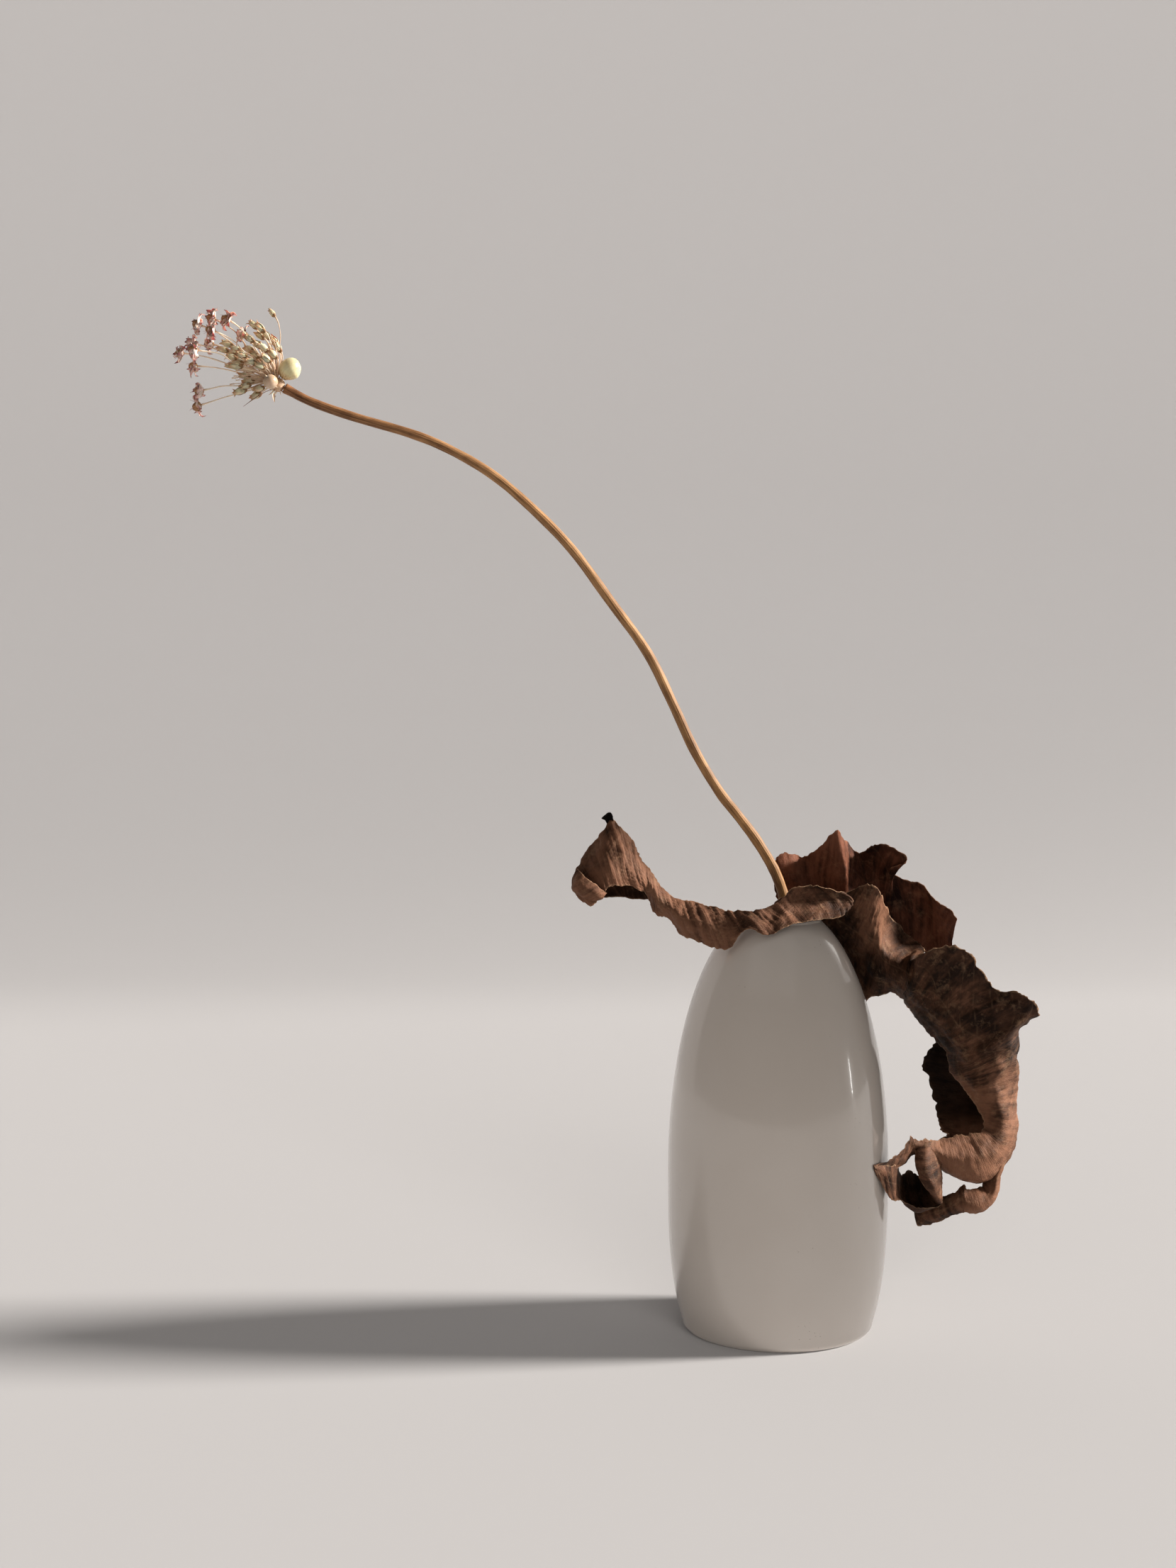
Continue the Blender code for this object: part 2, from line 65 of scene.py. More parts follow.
class Paint:
    """A node material in the making: nodes are added by short calls and joined by their sockets."""

    def __init__(self, name, slot):
        self.material = bpy.data.materials.new(name)
        self.material.use_nodes = True
        self.slot = slot
        self.tree = self.material.node_tree
        self.shader = self.tree.nodes["Principled BSDF"]
        self.place = self.add("ShaderNodeTexCoord").outputs["Object"]

    def add(self, kind, **settings):
        node = self.tree.nodes.new(kind)
        for name, value in settings.items():
            setattr(node, name, value)
        return node

    def link(self, source, target):
        if hasattr(source, "is_output"):
            self.tree.links.new(source, target)
        else:
            target.default_value = source

    def fill(self, node, **values):
        """Links sockets or plain values to a node's inputs, named with _ for a space."""
        for name, value in values.items():
            self.link(value, node.inputs[name.replace("_", " ")])
        return node

    def set(self, **values):
        self.fill(self.shader, **values)

    def attribute(self, name, output="Fac"):
        return self.add("ShaderNodeAttribute", attribute_name=name).outputs[output]

    def flow(self):
        return self.attribute("flow", "Vector")

    def mapped(self, scale, source):
        node = self.add("ShaderNodeMapping")
        return self.fill(node, Vector=source, Scale=scale).outputs["Vector"]

    def noise(self, scale, detail=4.0, rough=0.55, source=None, distortion=0.0):
        node = self.add("ShaderNodeTexNoise")
        self.fill(node, Vector=source or self.place, Scale=scale, Detail=detail)
        return self.fill(node, Roughness=rough, Distortion=distortion).outputs["Fac"]

    def cells(self, scale, source=None, feature="DISTANCE_TO_EDGE"):
        node = self.add("ShaderNodeTexVoronoi", feature=feature)
        return self.fill(node, Vector=source or self.place, Scale=scale).outputs["Distance"]

    def spread(self, value, low, high, to_low=0.0, to_high=1.0):
        """The value carried from one range into another, and held inside it."""
        node = self.add("ShaderNodeMapRange")
        self.fill(node, Value=value, From_Min=low, From_Max=high, To_Min=to_low, To_Max=to_high)
        return node.outputs["Result"]

    def math(self, kind, a, b):
        node = self.add("ShaderNodeMath", operation=kind)
        self.link(a, node.inputs[0])
        self.link(b, node.inputs[1])
        return node.outputs["Value"]

    def times(self, a, b):
        return self.math("MULTIPLY", a, b)

    def inverse(self, value):
        return self.math("SUBTRACT", 1.0, value)

    def sway(self, value, weight):
        """A value from 0 to 1 made to swing about zero, by half the weight either way."""
        return self.times(self.math("SUBTRACT", value, 0.5), weight)

    def total(self, first, *others):
        for value in others:
            first = self.math("ADD", first, value)
        return first

    def mix(self, share, a, b):
        node = self.add("ShaderNodeMix", data_type="RGBA", blend_type="MIX")
        self.link(share, node.inputs["Factor"])
        colours = [socket for socket in node.inputs if socket.type == "RGBA"]
        for socket, value in zip(colours, (a, b)):
            self.link((*value, 1.0) if isinstance(value, tuple) else value, socket)
        return [socket for socket in node.outputs if socket.type == "RGBA"][0]

    def bump(self, height, strength, distance, base=None):
        node = self.fill(self.add("ShaderNodeBump"), Height=height, Strength=strength, Distance=distance)
        if base:
            self.link(base, node.inputs["Normal"])
        return node.outputs["Normal"]


def glaze_paint():
    """White glaze, warm and a little uneven, with rare brown specks."""
    paint = Paint("white_glaze", "white_glaze")
    dull, clean, brown = (0.64, 0.575, 0.515), (0.70, 0.64, 0.585), (0.40, 0.33, 0.27)
    body = paint.mix(paint.spread(paint.noise(9.0, 3.0), 0.35, 0.7), dull, clean)
    cells = paint.spread(paint.cells(420.0, feature="F1"), 0.05, 0.12)
    rare = paint.spread(paint.noise(60.0, 1.0), 0.66, 0.70)
    paint.set(Base_Color=paint.mix(paint.times(paint.inverse(cells), rare), body, brown))
    paint.set(Roughness=paint.spread(paint.noise(26.0, 4.0), 0.3, 0.7, 0.13, 0.2))
    paint.set(IOR=1.5, Coat_Weight=0.5, Coat_Roughness=0.05)
    paint.set(Normal=paint.bump(paint.noise(38.0, 2.0), 0.05, 0.002))
    return paint


def leaf_paint(name, slot, dark, middle, light, rim):
    """A dry leaf: dark to light patches, fine fibres across it, paler veins, scuffs and worn edges.
    Its tone paints light and shade, crests are paler from wear and creases darker as painted shade, and it is
    blackened where burnt and as painted shade.
    """
    paint = Paint(name, slot)
    black = (0.004, 0.003, 0.0025)
    flow = paint.flow()
    fibre = paint.noise(0.9, 4.0, 0.6, paint.mapped((1.0, 0.1, 0.13), flow), 0.6)
    grain = paint.noise(1.1, 5.0, 0.7, paint.mapped((0.5, 0.4, 0.5), flow))
    mottle = paint.noise(60.0, 4.0, 0.55)
    # Painted light and shade enter here: the tone, and the crest mark that makes creases darker as painted
    # shade and crests paler as wear.
    share = paint.total(
        paint.sway(fibre, 0.6),
        paint.sway(mottle, 1.7),
        paint.sway(grain, 0.5),
        paint.sway(paint.attribute("crest_wear_and_crease_shade"), 0.9),
        paint.attribute("tone"),
    )
    low = paint.mix(paint.spread(share, 0.0, 0.5), dark, middle)
    colour = paint.mix(paint.spread(share, 0.45, 1.1), low, light)
    worn = paint.times(paint.attribute("edge"), paint.spread(grain, 0.35, 0.6))
    scuff = paint.spread(paint.noise(150.0, 5.0, 0.72), 0.54, 0.7)
    for place, weight in ((paint.attribute("vein"), 0.16), (worn, 0.7), (scuff, 0.26)):
        colour = paint.mix(paint.times(place, weight), colour, rim)
    # Blackened where the leaf is burnt, and as painted shade where it lies in shadow.
    colour = paint.mix(paint.attribute("burnt_and_shade"), colour, black)
    paint.set(Base_Color=colour, Roughness=paint.spread(grain, 0.3, 0.7, 0.5, 0.7))
    paint.set(Specular_IOR_Level=0.08)
    net = paint.cells(0.9, paint.mapped((1.0, 0.7, 1.0), flow))
    first = paint.bump(paint.spread(net, 0.0, 0.2), 0.18, 0.0003)
    second = paint.bump(grain, 0.45, 0.0006, first)
    paint.set(Normal=paint.bump(fibre, 0.5, 0.0008, second))
    return paint


def stem_paint():
    """Straw-coloured bark with paler ribs and brown lines, browner at its foot and near the flower head."""
    paint = Paint("straw_bark", "dry_stem")
    brown = (0.16, 0.07, 0.03)
    flow = paint.flow()
    along = paint.attribute("tone")
    lines = paint.noise(1.6, 5.0, 0.65, paint.mapped((1.0, 1.0, 0.03), flow))
    patches = paint.noise(0.9, 3.0, 0.6, paint.mapped((0.2, 0.2, 0.12), flow))
    streak = paint.spread(paint.total(lines, paint.times(patches, 0.5)), 0.58, 0.95)
    low = paint.mix(streak, (0.12, 0.05, 0.018), (0.43, 0.225, 0.085))
    high = paint.mix(streak, (0.19, 0.086, 0.033), (0.53, 0.295, 0.13))
    near_head = paint.mix(streak, (0.09, 0.036, 0.015), (0.36, 0.165, 0.07))
    colour = paint.mix(paint.spread(along, 0.36, 0.7), low, high)
    colour = paint.mix(paint.spread(along, 0.76, 0.98), colour, near_head)
    specks = paint.noise(0.8, 4.0, 0.7, paint.mapped((1.0, 1.0, 0.25), flow))
    colour = paint.mix(paint.times(paint.spread(specks, 0.66, 0.74), 0.55), colour, brown)
    paint.set(Base_Color=colour, Roughness=paint.spread(lines, 0.3, 0.7, 0.42, 0.6))
    paint.set(Specular_IOR_Level=0.22)
    paint.set(Normal=paint.bump(lines, 0.5, 0.0003))
    return paint


def strand_paint():
    """Thin dry stalks: cream where sound, brown towards the knob."""
    paint = Paint("straw_strands", "dry_stem")
    brown, cream = (0.46, 0.24, 0.115), (0.93, 0.77, 0.58)
    fibre = paint.noise(900.0, 3.0)
    share = paint.total(paint.attribute("tone"), paint.sway(fibre, 0.8))
    paint.set(Base_Color=paint.mix(paint.spread(share, 0.05, 0.85), brown, cream))
    paint.set(Roughness=paint.spread(fibre, 0.3, 0.7, 0.5, 0.7), Normal=paint.bump(fibre, 0.3, 0.0001))
    return paint


def petal_paint(name, slot, tip, middle, pale, seed_case, stripe):
    """A papery petal: dark tip, veined middle, pale root, and the seed case that it surrounds."""
    paint = Paint(name, slot)
    seed_shadow = (seed_case[0] * 0.35, seed_case[1] * 0.32, seed_case[2] * 0.3)
    fibre = paint.noise(1.9, 4.0, 0.65, paint.mapped((1.0, 1.0, 0.22), paint.flow()))
    tone = paint.total(paint.attribute("tone"), paint.sway(paint.noise(420.0, 3.0), 0.7))
    low = paint.mix(paint.spread(tone, 0.1, 0.55), tip, middle)
    colour = paint.mix(paint.spread(tone, 0.5, 0.95), low, pale)
    rib = paint.spread(paint.attribute("stripe"), 0.6, 0.95)
    colour = paint.mix(paint.times(rib, stripe), colour, tip)
    streaks = paint.spread(fibre, 0.35, 0.65)
    colour = paint.mix(paint.times(paint.inverse(streaks), 0.35), colour, middle)
    case = paint.mix(streaks, seed_shadow, seed_case)
    paint.set(Base_Color=paint.mix(paint.attribute("seed"), colour, case))
    paint.set(Roughness=paint.spread(fibre, 0.3, 0.7, 0.5, 0.75))
    paint.set(Subsurface_Weight=0.35, Subsurface_Scale=0.0012)
    paint.set(Normal=paint.bump(fibre, 0.6, 0.00015))
    return paint


def skin_paint(name, low, high):
    """A bulbil's waxy, slightly see-through skin, browner and fibrous at the neck."""
    paint = Paint(name, "bulbil_skin")
    grain = paint.noise(1.3, 4.0, 0.6, paint.mapped((1.0, 1.0, 0.12), paint.flow()))
    body = paint.mix(paint.spread(paint.noise(160.0, 2.0), 0.35, 0.65), low, high)
    neck = paint.mix(paint.spread(grain, 0.4, 0.6), (0.42, 0.25, 0.10), (0.66, 0.50, 0.27))
    share = paint.total(paint.attribute("tone"), paint.times(grain, 0.25))
    paint.set(Base_Color=paint.mix(paint.spread(share, 0.14, 0.42), neck, body))
    paint.set(Roughness=paint.spread(grain, 0.3, 0.7, 0.22, 0.36))
    paint.set(Subsurface_Weight=0.6, Subsurface_Scale=0.004, Subsurface_Radius=(1.0, 0.75, 0.35))
    paint.set(Coat_Weight=0.35, Coat_Roughness=0.12)
    paint.set(Normal=paint.bump(grain, 0.15, 0.0003))
    return paint


# ---------------- mesh helpers


def catmull(points, samples):
    """Smooth rows through an array of points, samples of them to each stretch, along the first axis."""
    points = np.asarray(points, float)
    before, after = 2 * points[0] - points[1], 2 * points[-1] - points[-2]
    knots = np.concatenate([[before], points, [after]])
    rows = []
    for a, b, c, d in zip(knots, knots[1:], knots[2:], knots[3:]):
        for step in range(samples):
            t = step / samples
            square = (2 * a - 5 * b + 4 * c - d) * t**2
            cube = (3 * b - a - 3 * c + d) * t**3
            rows.append(0.5 * (2 * b + (c - a) * t + square + cube))
    rows.append(points[-1])
    return np.array(rows)


def distances(points):
    """The distance from the first point to each one, along the line."""
    return np.concatenate([[0.0], np.cumsum(np.linalg.norm(np.diff(points, axis=0), axis=1))])


def even_rib(rib, count):
    """A rib of any number of points as this many, evenly spaced along a smooth line through them."""
    line = catmull(rib, 12)
    run = distances(line)
    places = np.linspace(0, run[-1], count)
    return np.stack([np.interp(places, run, line[:, axis]) for axis in range(3)], axis=1)


def smooth_grid(ribs, along, across):
    """A fine grid of points, in mm, through ribs of control points."""
    grid = catmull([even_rib(rib, 7) for rib in ribs], along)
    return np.swapaxes(catmull(np.swapaxes(grid, 0, 1), across), 0, 1)


def grid_normals(grid):
    du = np.gradient(grid, axis=0)
    dv = np.gradient(grid, axis=1)
    normals = np.cross(du, dv)
    return normals / np.maximum(np.linalg.norm(normals, axis=2, keepdims=True), 1e-9)


def field(grid, scale, seed):
    """Smooth noise from -1 to 1 at each point of the grid, at this many waves a millimetre."""
    shift = Vector((seed * 13.7, seed * 7.1, seed * 3.3))
    flat = [noise.noise(Vector(point) * scale + shift) for point in grid.reshape(-1, 3)]
    return np.array(flat).reshape(grid.shape[:2])


def new_object(name, data):
    made = bpy.data.objects.new(name, data)
    bpy.context.scene.collection.objects.link(made)
    return made


def new_piece(name, points, faces, paint):
    mesh = bpy.data.meshes.new(name)
    mesh.from_pydata(points.tolist(), [], faces)
    mesh.update()
    mesh.shade_smooth()
    made = new_object(name, mesh)
    mesh.materials.append(paint.material)
    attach(made, "root")
    return made


def grid_faces(rows, columns):
    faces = []
    for row in range(rows - 1):
        for column in range(columns - 1):
            first = row * columns + column
            faces.append((first, first + 1, first + columns + 1, first + columns))
    return faces


def store(piece, name, values):
    """Keeps one number for each point of the piece, for its paint."""
    attribute = piece.data.attributes.new(name, "FLOAT", "POINT")
    attribute.data.foreach_set("value", np.ravel(values).astype(np.float32))


def store_flow(piece, vectors):
    """Keeps each point's place on the unrolled surface, in mm, for the grain in its paint."""
    attribute = piece.data.attributes.new("flow", "FLOAT_VECTOR", "POINT")
    attribute.data.foreach_set("vector", np.ravel(vectors).astype(np.float32))


# ---------------- vase


def outer_radius(height):
    """The vase's outer radius in mm, as in the CAD."""
    widest, foot, lip, power = 80.0, 46.0, 18.5, 2.2
    radius = VASE_RADIUS / MM
    if height >= widest:
        reach = (RIM / MM - widest) / (1 - (lip / radius) ** power) ** (1 / 2)
        fall = ((height - widest) / reach) ** 2
    else:
        reach = widest / (1 - (foot / radius) ** power) ** (1 / 3)
        fall = ((widest - height) / reach) ** 3
    return radius * (1 - fall) ** (1 / power)


def make_vase(paint):
    """A turned body with a fine profile: inside floor, inner wall, rounded lip, outer wall, rounded foot."""
    edge, rings, lip_rings, foot_rings = 4.0, 60, 14, 8
    lip_height = RIM / MM - WALL / 2
    outside = [(outer_radius(edge), edge)]
    inside = [(outer_radius(FLOOR + edge) - WALL, FLOOR + edge)]
    for step in range(1, rings + 1):
        share = 1 - (1 - step / (rings + 1)) ** 1.6
        level = edge + share * (lip_height - edge)
        slope = outer_radius(level + 0.1) - outer_radius(level - 0.1)
        normal = Vector((0.2, -slope)).normalized()
        outside.append((outer_radius(level), level))
        inner = Vector((outer_radius(level), level)) - normal * WALL
        if FLOOR + edge < inner.y:
            inside.append((inner.x, inner.y))
    lip_radius = outer_radius(lip_height)
    middle, reach = (lip_radius + MOUTH) / 2, (lip_radius - MOUTH) / 2
    profile = [(0, FLOOR), (inside[0][0] - edge, FLOOR), *inside, (MOUTH, lip_height - WALL / 2)]
    for step in range(lip_rings + 1):
        angle = math.pi - step * math.pi / lip_rings
        profile.append((middle + reach * math.cos(angle), lip_height + WALL / 2 * math.sin(angle)))
    profile += reversed(outside)
    for step in range(1, foot_rings + 1):
        angle = step * math.pi / 2 / foot_rings
        profile.append((outside[0][0] - edge * (1 - math.cos(angle)), edge * (1 - math.sin(angle))))
    profile.append((0, 0))
    mesh = bpy.data.meshes.new("vase_body")
    edges = [(index, index + 1) for index in range(len(profile) - 1)]
    mesh.from_pydata([(radius * MM, 0, level * MM) for radius, level in profile], edges, [])
    piece = new_object("vase_body", mesh)
    mesh.materials.append(paint.material)
    screw = piece.modifiers.new("Screw", "SCREW")
    screw.steps = screw.render_steps = 144
    screw.use_merge_vertices = True
    screw.merge_threshold = 0.00001
    screw.use_smooth_shade = True
    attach(piece, "root")
    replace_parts(piece, "vase")
    return piece


# ---------------- leaves

# Control ribs of the leaves, from the mouth to the far end. Each rib runs across the leaf, and its points are
# (x, y, height above the rim) in mm.
LEFT_LEAF = [
    ((-3, -13, 9), (-1, -13, 7.5), (1, -13, 6), (3.5, -13, 5)),
    ((5, -11, 13), (6, -11.5, 10), (7, -12, 7.5), (8, -12, 5)),
    ((17, -7, 14), (18, -8, 11), (19, -9, 8), (19, -9, 5)),
    ((27, -6, 13.5), (29, -6, 11), (30, -7, 7), (29, -7, 4)),
    ((31, -9, 12.5), (34, -8, 10), (34.5, -8.5, 7), (32, -10, 4)),
    ((26, -15, 15), (30, -10, 12), (31, -10, 6), (28, -16, 1.5)),
    ((17, -18, 17), (18, -12.5, 13), (19, -13, 7), (18, -20, 0.5)),
    ((6, -18, 17), (6, -15.5, 12), (7, -17, 6), (8, -24, 0)),
    ((-1, -17, 10), (-1, -20, 5), (-1, -24, 1), (-1, -26, -3)),
    ((-8, -19, 7), (-8, -22, 2), (-7, -25, -2), (-7, -27, -6)),
    ((-15, -20, 5), (-16, -24, 2), (-17, -26, -1), (-18, -27, -3)),
    ((-23, -17, 5), (-23, -22, 0), (-24, -24, -7), (-25, -24, -12)),
    ((-31, -14, 6), (-31, -20, 0), (-31, -22, -6), (-31, -21, -13)),
    ((-40, -10, 8), (-41, -17, 3), (-41, -20, -3), (-41, -16, -10)),
    ((-47, -8, 9), (-48, -14, 4), (-49, -16, -1), (-49, -10, -7)),
    ((-53, -7, 11), (-54, -11, 8), (-54, -12, 5), (-54, -6, 0)),
    ((-59, -6, 16), (-60, -11, 12), (-60, -11, 8), (-61, -4, 2)),
    ((-63, -4, 22), (-64, -10, 18), (-63, -9, 13), (-64, -2, 8)),
    ((-68, -2, 28), (-68, -9, 24), (-68, -12, 19), (-67, -10, 13)),
    ((-72, -1, 37), (-73, -9, 29), (-73, -13, 22), (-73, -13, 16)),
    ((-78, 0, 44), (-78, -9, 33), (-79, -14, 24), (-79, -15, 17)),
    ((-83, 2, 48), (-84, -8, 35), (-84, -15, 24), (-84, -17, 16)),
    ((-88, 1, 40), (-89, -7, 31), (-88, -15, 21), (-87, -18, 12)),
    ((-93, 1, 35), (-95, -6, 27), (-94, -15, 17), (-91, -17, 8)),
    ((-97, -2, 27), (-100, -9, 22), (-98, -17, 14), (-94, -16, 8)),
    ((-99, -6, 24), (-101.5, -11, 21), (-101, -15, 15), (-98, -15, 11)),
]
# The far side of the hood at the leaf's left end, which shows below its front rim.
HOOD_BACK = [
    ((-60, -6.5, 15), (-60, -2, 12), (-60, -2, 9), (-60, -3, 6)),
    ((-63, -5, 21), (-62, 0, 16), (-62, 1, 12), (-62, -1, 8)),
    ((-67, -3, 27), (-66, 4, 20), (-66, 5, 13), (-66, 3, 8)),
    ((-73, -2, 36.5), (-72, 7, 25), (-72, 8, 15), (-72, 5, 8)),
    ((-79, -1, 43.3), (-78, 8, 30), (-77, 9, 18), (-77, 5, 9)),
    ((-83, 1, 46.5), (-82, 8, 33), (-82, 9, 19), (-82, 5, 9)),
    ((-88, 0, 39), (-87, 6, 28), (-87, 7, 17), (-86, 3, 9)),
    ((-93.2, 0, 34), (-92, 4, 24), (-91, 5, 16), (-90, 2, 10)),
    ((-97.4, -3, 26.4), (-96, 0, 20), (-95, 0, 16), (-94, -2, 12)),
]
# The black shrivelled point on top of the hood.
HOOD_TIP = [
    ((-81.5, 1, 45), (-83, 2, 46), (-84.5, 1, 45)),
    ((-81.5, 0, 48), (-83.5, 1, 48), (-85.5, 0, 47)),
    ((-82, -2, 50), (-84, -1, 50), (-87, -2, 48)),
    ((-83, -4, 51.5), (-84.5, -4, 51), (-87.5, -4, 49)),
    ((-84, -4, 52), (-85, -5, 51), (-86, -5, 49.5)),
]
# The paler edge that folds forward at the hood's lower left.
HOOD_FLAP = [
    ((-99, -12, 25), (-100, -13, 24), (-101, -13, 22), (-102, -12, 20)),
    ((-97, -17, 23), (-99, -19, 20), (-101, -18, 17), (-102, -15, 15)),
    ((-94, -19, 20.5), (-96, -21, 17), (-98, -20, 14), (-99, -16, 12.5)),
    ((-90, -19, 18), (-92, -21, 15), (-94, -20, 12), (-95, -17, 10)),
    ((-87, -18, 15.5), (-88, -20, 13.5), (-89.5, -20, 11.5), (-90, -18, 10)),
    ((-85, -17, 13.5), (-86, -18, 12.5), (-86.5, -18, 11.5), (-87, -17, 10.5)),
]
BACK_LEAF = [
    ((-1, 13, 10), (1.5, 13, 9), (4, 13, 8), (6.5, 13, 7)),
    ((-2, 12, 21), (0, 12, 16), (2, 12, 12), (5, 12, 9)),
    ((0, 14, 29), (2, 11, 23), (5, 11, 16), (9, 13, 9)),
    ((8, 17, 30), (9, 13, 24), (11, 12, 17), (14, 14, 9)),
    ((13, 17, 28), (15, 18, 22), (17, 17, 16), (19, 16, 9)),
    ((21, 11, 34), (22, 15, 26), (23, 17, 17), (25, 17, 9)),
    ((26, 9, 40), (27, 11, 30), (28, 14, 18), (30, 16, 9)),
    ((30, 9, 42), (32, 10, 30), (34, 12, 19), (34, 15, 9)),
    ((33, 15, 37), (35, 16, 27), (36, 16, 18), (36, 17, 8)),
    ((36, 25, 35), (39, 25, 26), (40, 23, 16), (40, 21, 4)),
    ((42, 27, 29), (45, 28, 20), (47, 26, 10), (46, 24, -2)),
    ((50, 20, 34), (51, 26, 22), (52, 29, 8), (53, 28, -6)),
    ((58, 16, 33), (56, 24, 20), (56, 29, 7), (57, 29, -8)),
    ((65, 14, 27), (59, 24, 17), (59, 29, 6), (60, 30, -10)),
    ((57, 22, 21.5), (60, 29, 13), (62, 31, 2), (64, 32, -14)),
    ((66, 28, 15), (69, 32, 5), (71, 34, -5), (73, 34, -21)),
    ((73, 24, 14), (76, 31, 4), (78, 35, -8), (80, 36, -23)),
    ((79, 22, 7), (81, 28, -2), (83, 33, -13), (85, 36, -25)),
    ((86, 18, 2), (86, 24, -6), (88, 30, -14), (90, 35, -23)),
    ((90, 16, -3), (90, 22, -8), (90, 28, -14), (90, 33, -21)),
]
RIGHT_LEAF = [
    ((16, 5, 8), (14.5, 8, 6.5), (13, 11, 5.5), (12, 14, 4.5), (10.5, 17, 3.5)),
    ((25, 3, 11), (22, 7.5, 7.5), (19, 13, 3.5), (16, 19, 0), (13, 24, -6)),
    ((34, 2, 12), (30, 7, 8), (26, 14, 2), (22, 21, -6), (19, 28, -16)),
    ((40, -4, 16), (38, 2, 7), (36, 11, -4), (34, 22, -17), (32, 31, -30)),
    ((46, -6, 16), (45, 0, 3), (44, 12, -13), (44, 20, -30), (43, 22, -45)),
    ((51, 0, 10), (50, 6, -2), (49, 10, -16), (49, 13, -31), (50, 21, -43)),
    ((59, 20, -4), (55, 15, -11), (53, 10, -19), (55, 11, -31), (59, 22, -42)),
    ((71, 26, -15), (65, 17, -20), (61, 6, -25), (61, 8, -34), (63, 23, -45)),
    ((75, 20, -20), (67, 8, -21), (64, 1, -27), (64, 4, -35), (64, 21, -45)),
    ((65, -9, -19), (66, -7, -24), (65, -3, -31), (65, 4, -39), (65, 20, -47)),
    ((71, -13, -15), (70, -10, -22), (69, -4, -31), (68, 3, -42), (68, 18, -51)),
    ((82, -15, -12), (79, -13, -20), (75, -7, -32), (72, 1, -44), (71, 16, -55)),
    ((92, -15, -16), (88, -13, -24), (82, -8, -34), (77, -1, -48), (75, 16, -60)),
    ((98, -12, -25), (93, -11, -32), (87, -8, -41), (82, -2, -53), (79, 16, -64)),
    ((106, -10, -34), (100, -10, -39), (92, -8, -47), (86, -3, -58), (82, 16, -67)),
    ((113, -13, -35), (107, -12, -42), (98, -8, -52), (89, -4, -62), (85, 16, -71)),
    ((122, -15, -38), (115, -13, -47), (104, -9, -57), (92, -4, -67), (86, 15, -75)),
    ((127, -6, -48), (118, -9, -53), (106, -10, -62), (94, -5, -71), (86, 13, -79)),
    ((119, 26, -57), (121, 8, -58), (109, -9, -66), (96, -4, -75), (88, 11, -82)),
    ((101, 36, -62), (121, 16, -67), (110, -7, -72), (98, -4, -79), (90, 9, -84)),
    ((82, 34, -69), (121, 20, -77), (111, -3, -80), (100, -4, -85), (93, 7, -88)),
    ((76, 30, -79), (121, 24, -88), (112, 0, -90), (103, -4, -92), (97, 5, -94)),
    ((80, 30, -91), (121, 26, -100), (114, 2, -100), (106, -5, -100), (101, 2, -100)),
    ((83, 30, -106), (121, 22, -110), (115, 2, -110), (107, -6, -108), (101, -1, -105)),
    ((85, 27, -113), (116, 18, -123), (110, -2, -122), (102, -9, -115), (96, -3, -107)),
    ((87, 22, -113), (106, 14, -133), (100, -6, -130), (94, -11, -118), (89, -4, -108)),
    ((82, 14, -114), (92, 8, -133), (88, -6, -128), (84, -12, -118), (81, -5, -109)),
    ((75, 6, -114), (79, 2, -124), (79, -8, -122), (77, -13, -115), (75, -9, -109)),
    ((69, -2, -113), (70, -6, -119), (70, -11, -119), (69, -14, -113), (67, -13, -108)),
    ((66, -8, -112), (66, -10, -116), (65, -13, -116), (65, -15, -111), (64, -15, -106.5)),
    ((61, -14, -115), (61, -16, -119), (60, -18, -119), (60, -19, -115), (60, -19, -111)),
    ((55, -20, -118), (55, -22, -121), (54, -24, -121), (54, -24, -118), (54, -24, -115)),
    ((49, -26, -118.5), (49, -27, -120), (48, -28, -120), (48, -28, -118), (48, -28, -116)),
    ((43, -33, -117), (43.5, -33, -118), (43.5, -33, -118), (43, -33, -117), (42.5, -33, -116)),
]
# The torn edge of the right-hand leaf that hangs in a loop beside the vase and ends in a point.
LOOP = [
    ((66, -10, -110), (71, -12, -110), (76, -9, -110), (82, -4, -111)),
    ((65.5, -15, -115), (70, -18, -116), (75, -14, -117), (80, -8, -118)),
    ((66, -18, -122), (71, -20, -124), (76, -16, -125), (80, -10, -126)),
    ((70, -18, -130), (74, -19, -131), (77.5, -15, -132), (80, -10, -133)),
    ((74, -13, -135), (76.5, -13, -137.5), (78.5, -12, -139), (80, -10, -139.5)),
    ((74, -4, -134), (75, -6, -139), (77, -8, -142), (78.5, -10, -142.5)),
    ((71, 3, -131), (71, 3, -137), (72, -3, -143.5), (72, -10, -145), (72, -12, -142.5)),
    ((66, 2, -127), (66, 2, -134), (66.5, -4, -142), (67, -12, -145), (67, -14, -141.5)),
    ((61, -2, -128), (61, -3, -133), (61, -8, -139), (62, -15, -141), (62, -17, -138.5)),
    ((58, -14, -122), (58, -14, -130), (58, -17, -136), (58.5, -20, -137)),
    ((54.5, -24, -118), (54, -25, -124), (54.5, -24, -131), (55, -22, -136.5)),
    ((51, -27, -117.5), (51, -28, -122), (51.5, -27, -129), (52, -25, -134)),
    ((48, -29, -117.5), (48, -30, -120), (48.5, -29, -124), (49, -28, -129)),
    ((43, -33, -116), (43, -33, -117), (43.5, -33, -118.5), (44, -32, -120)),
]
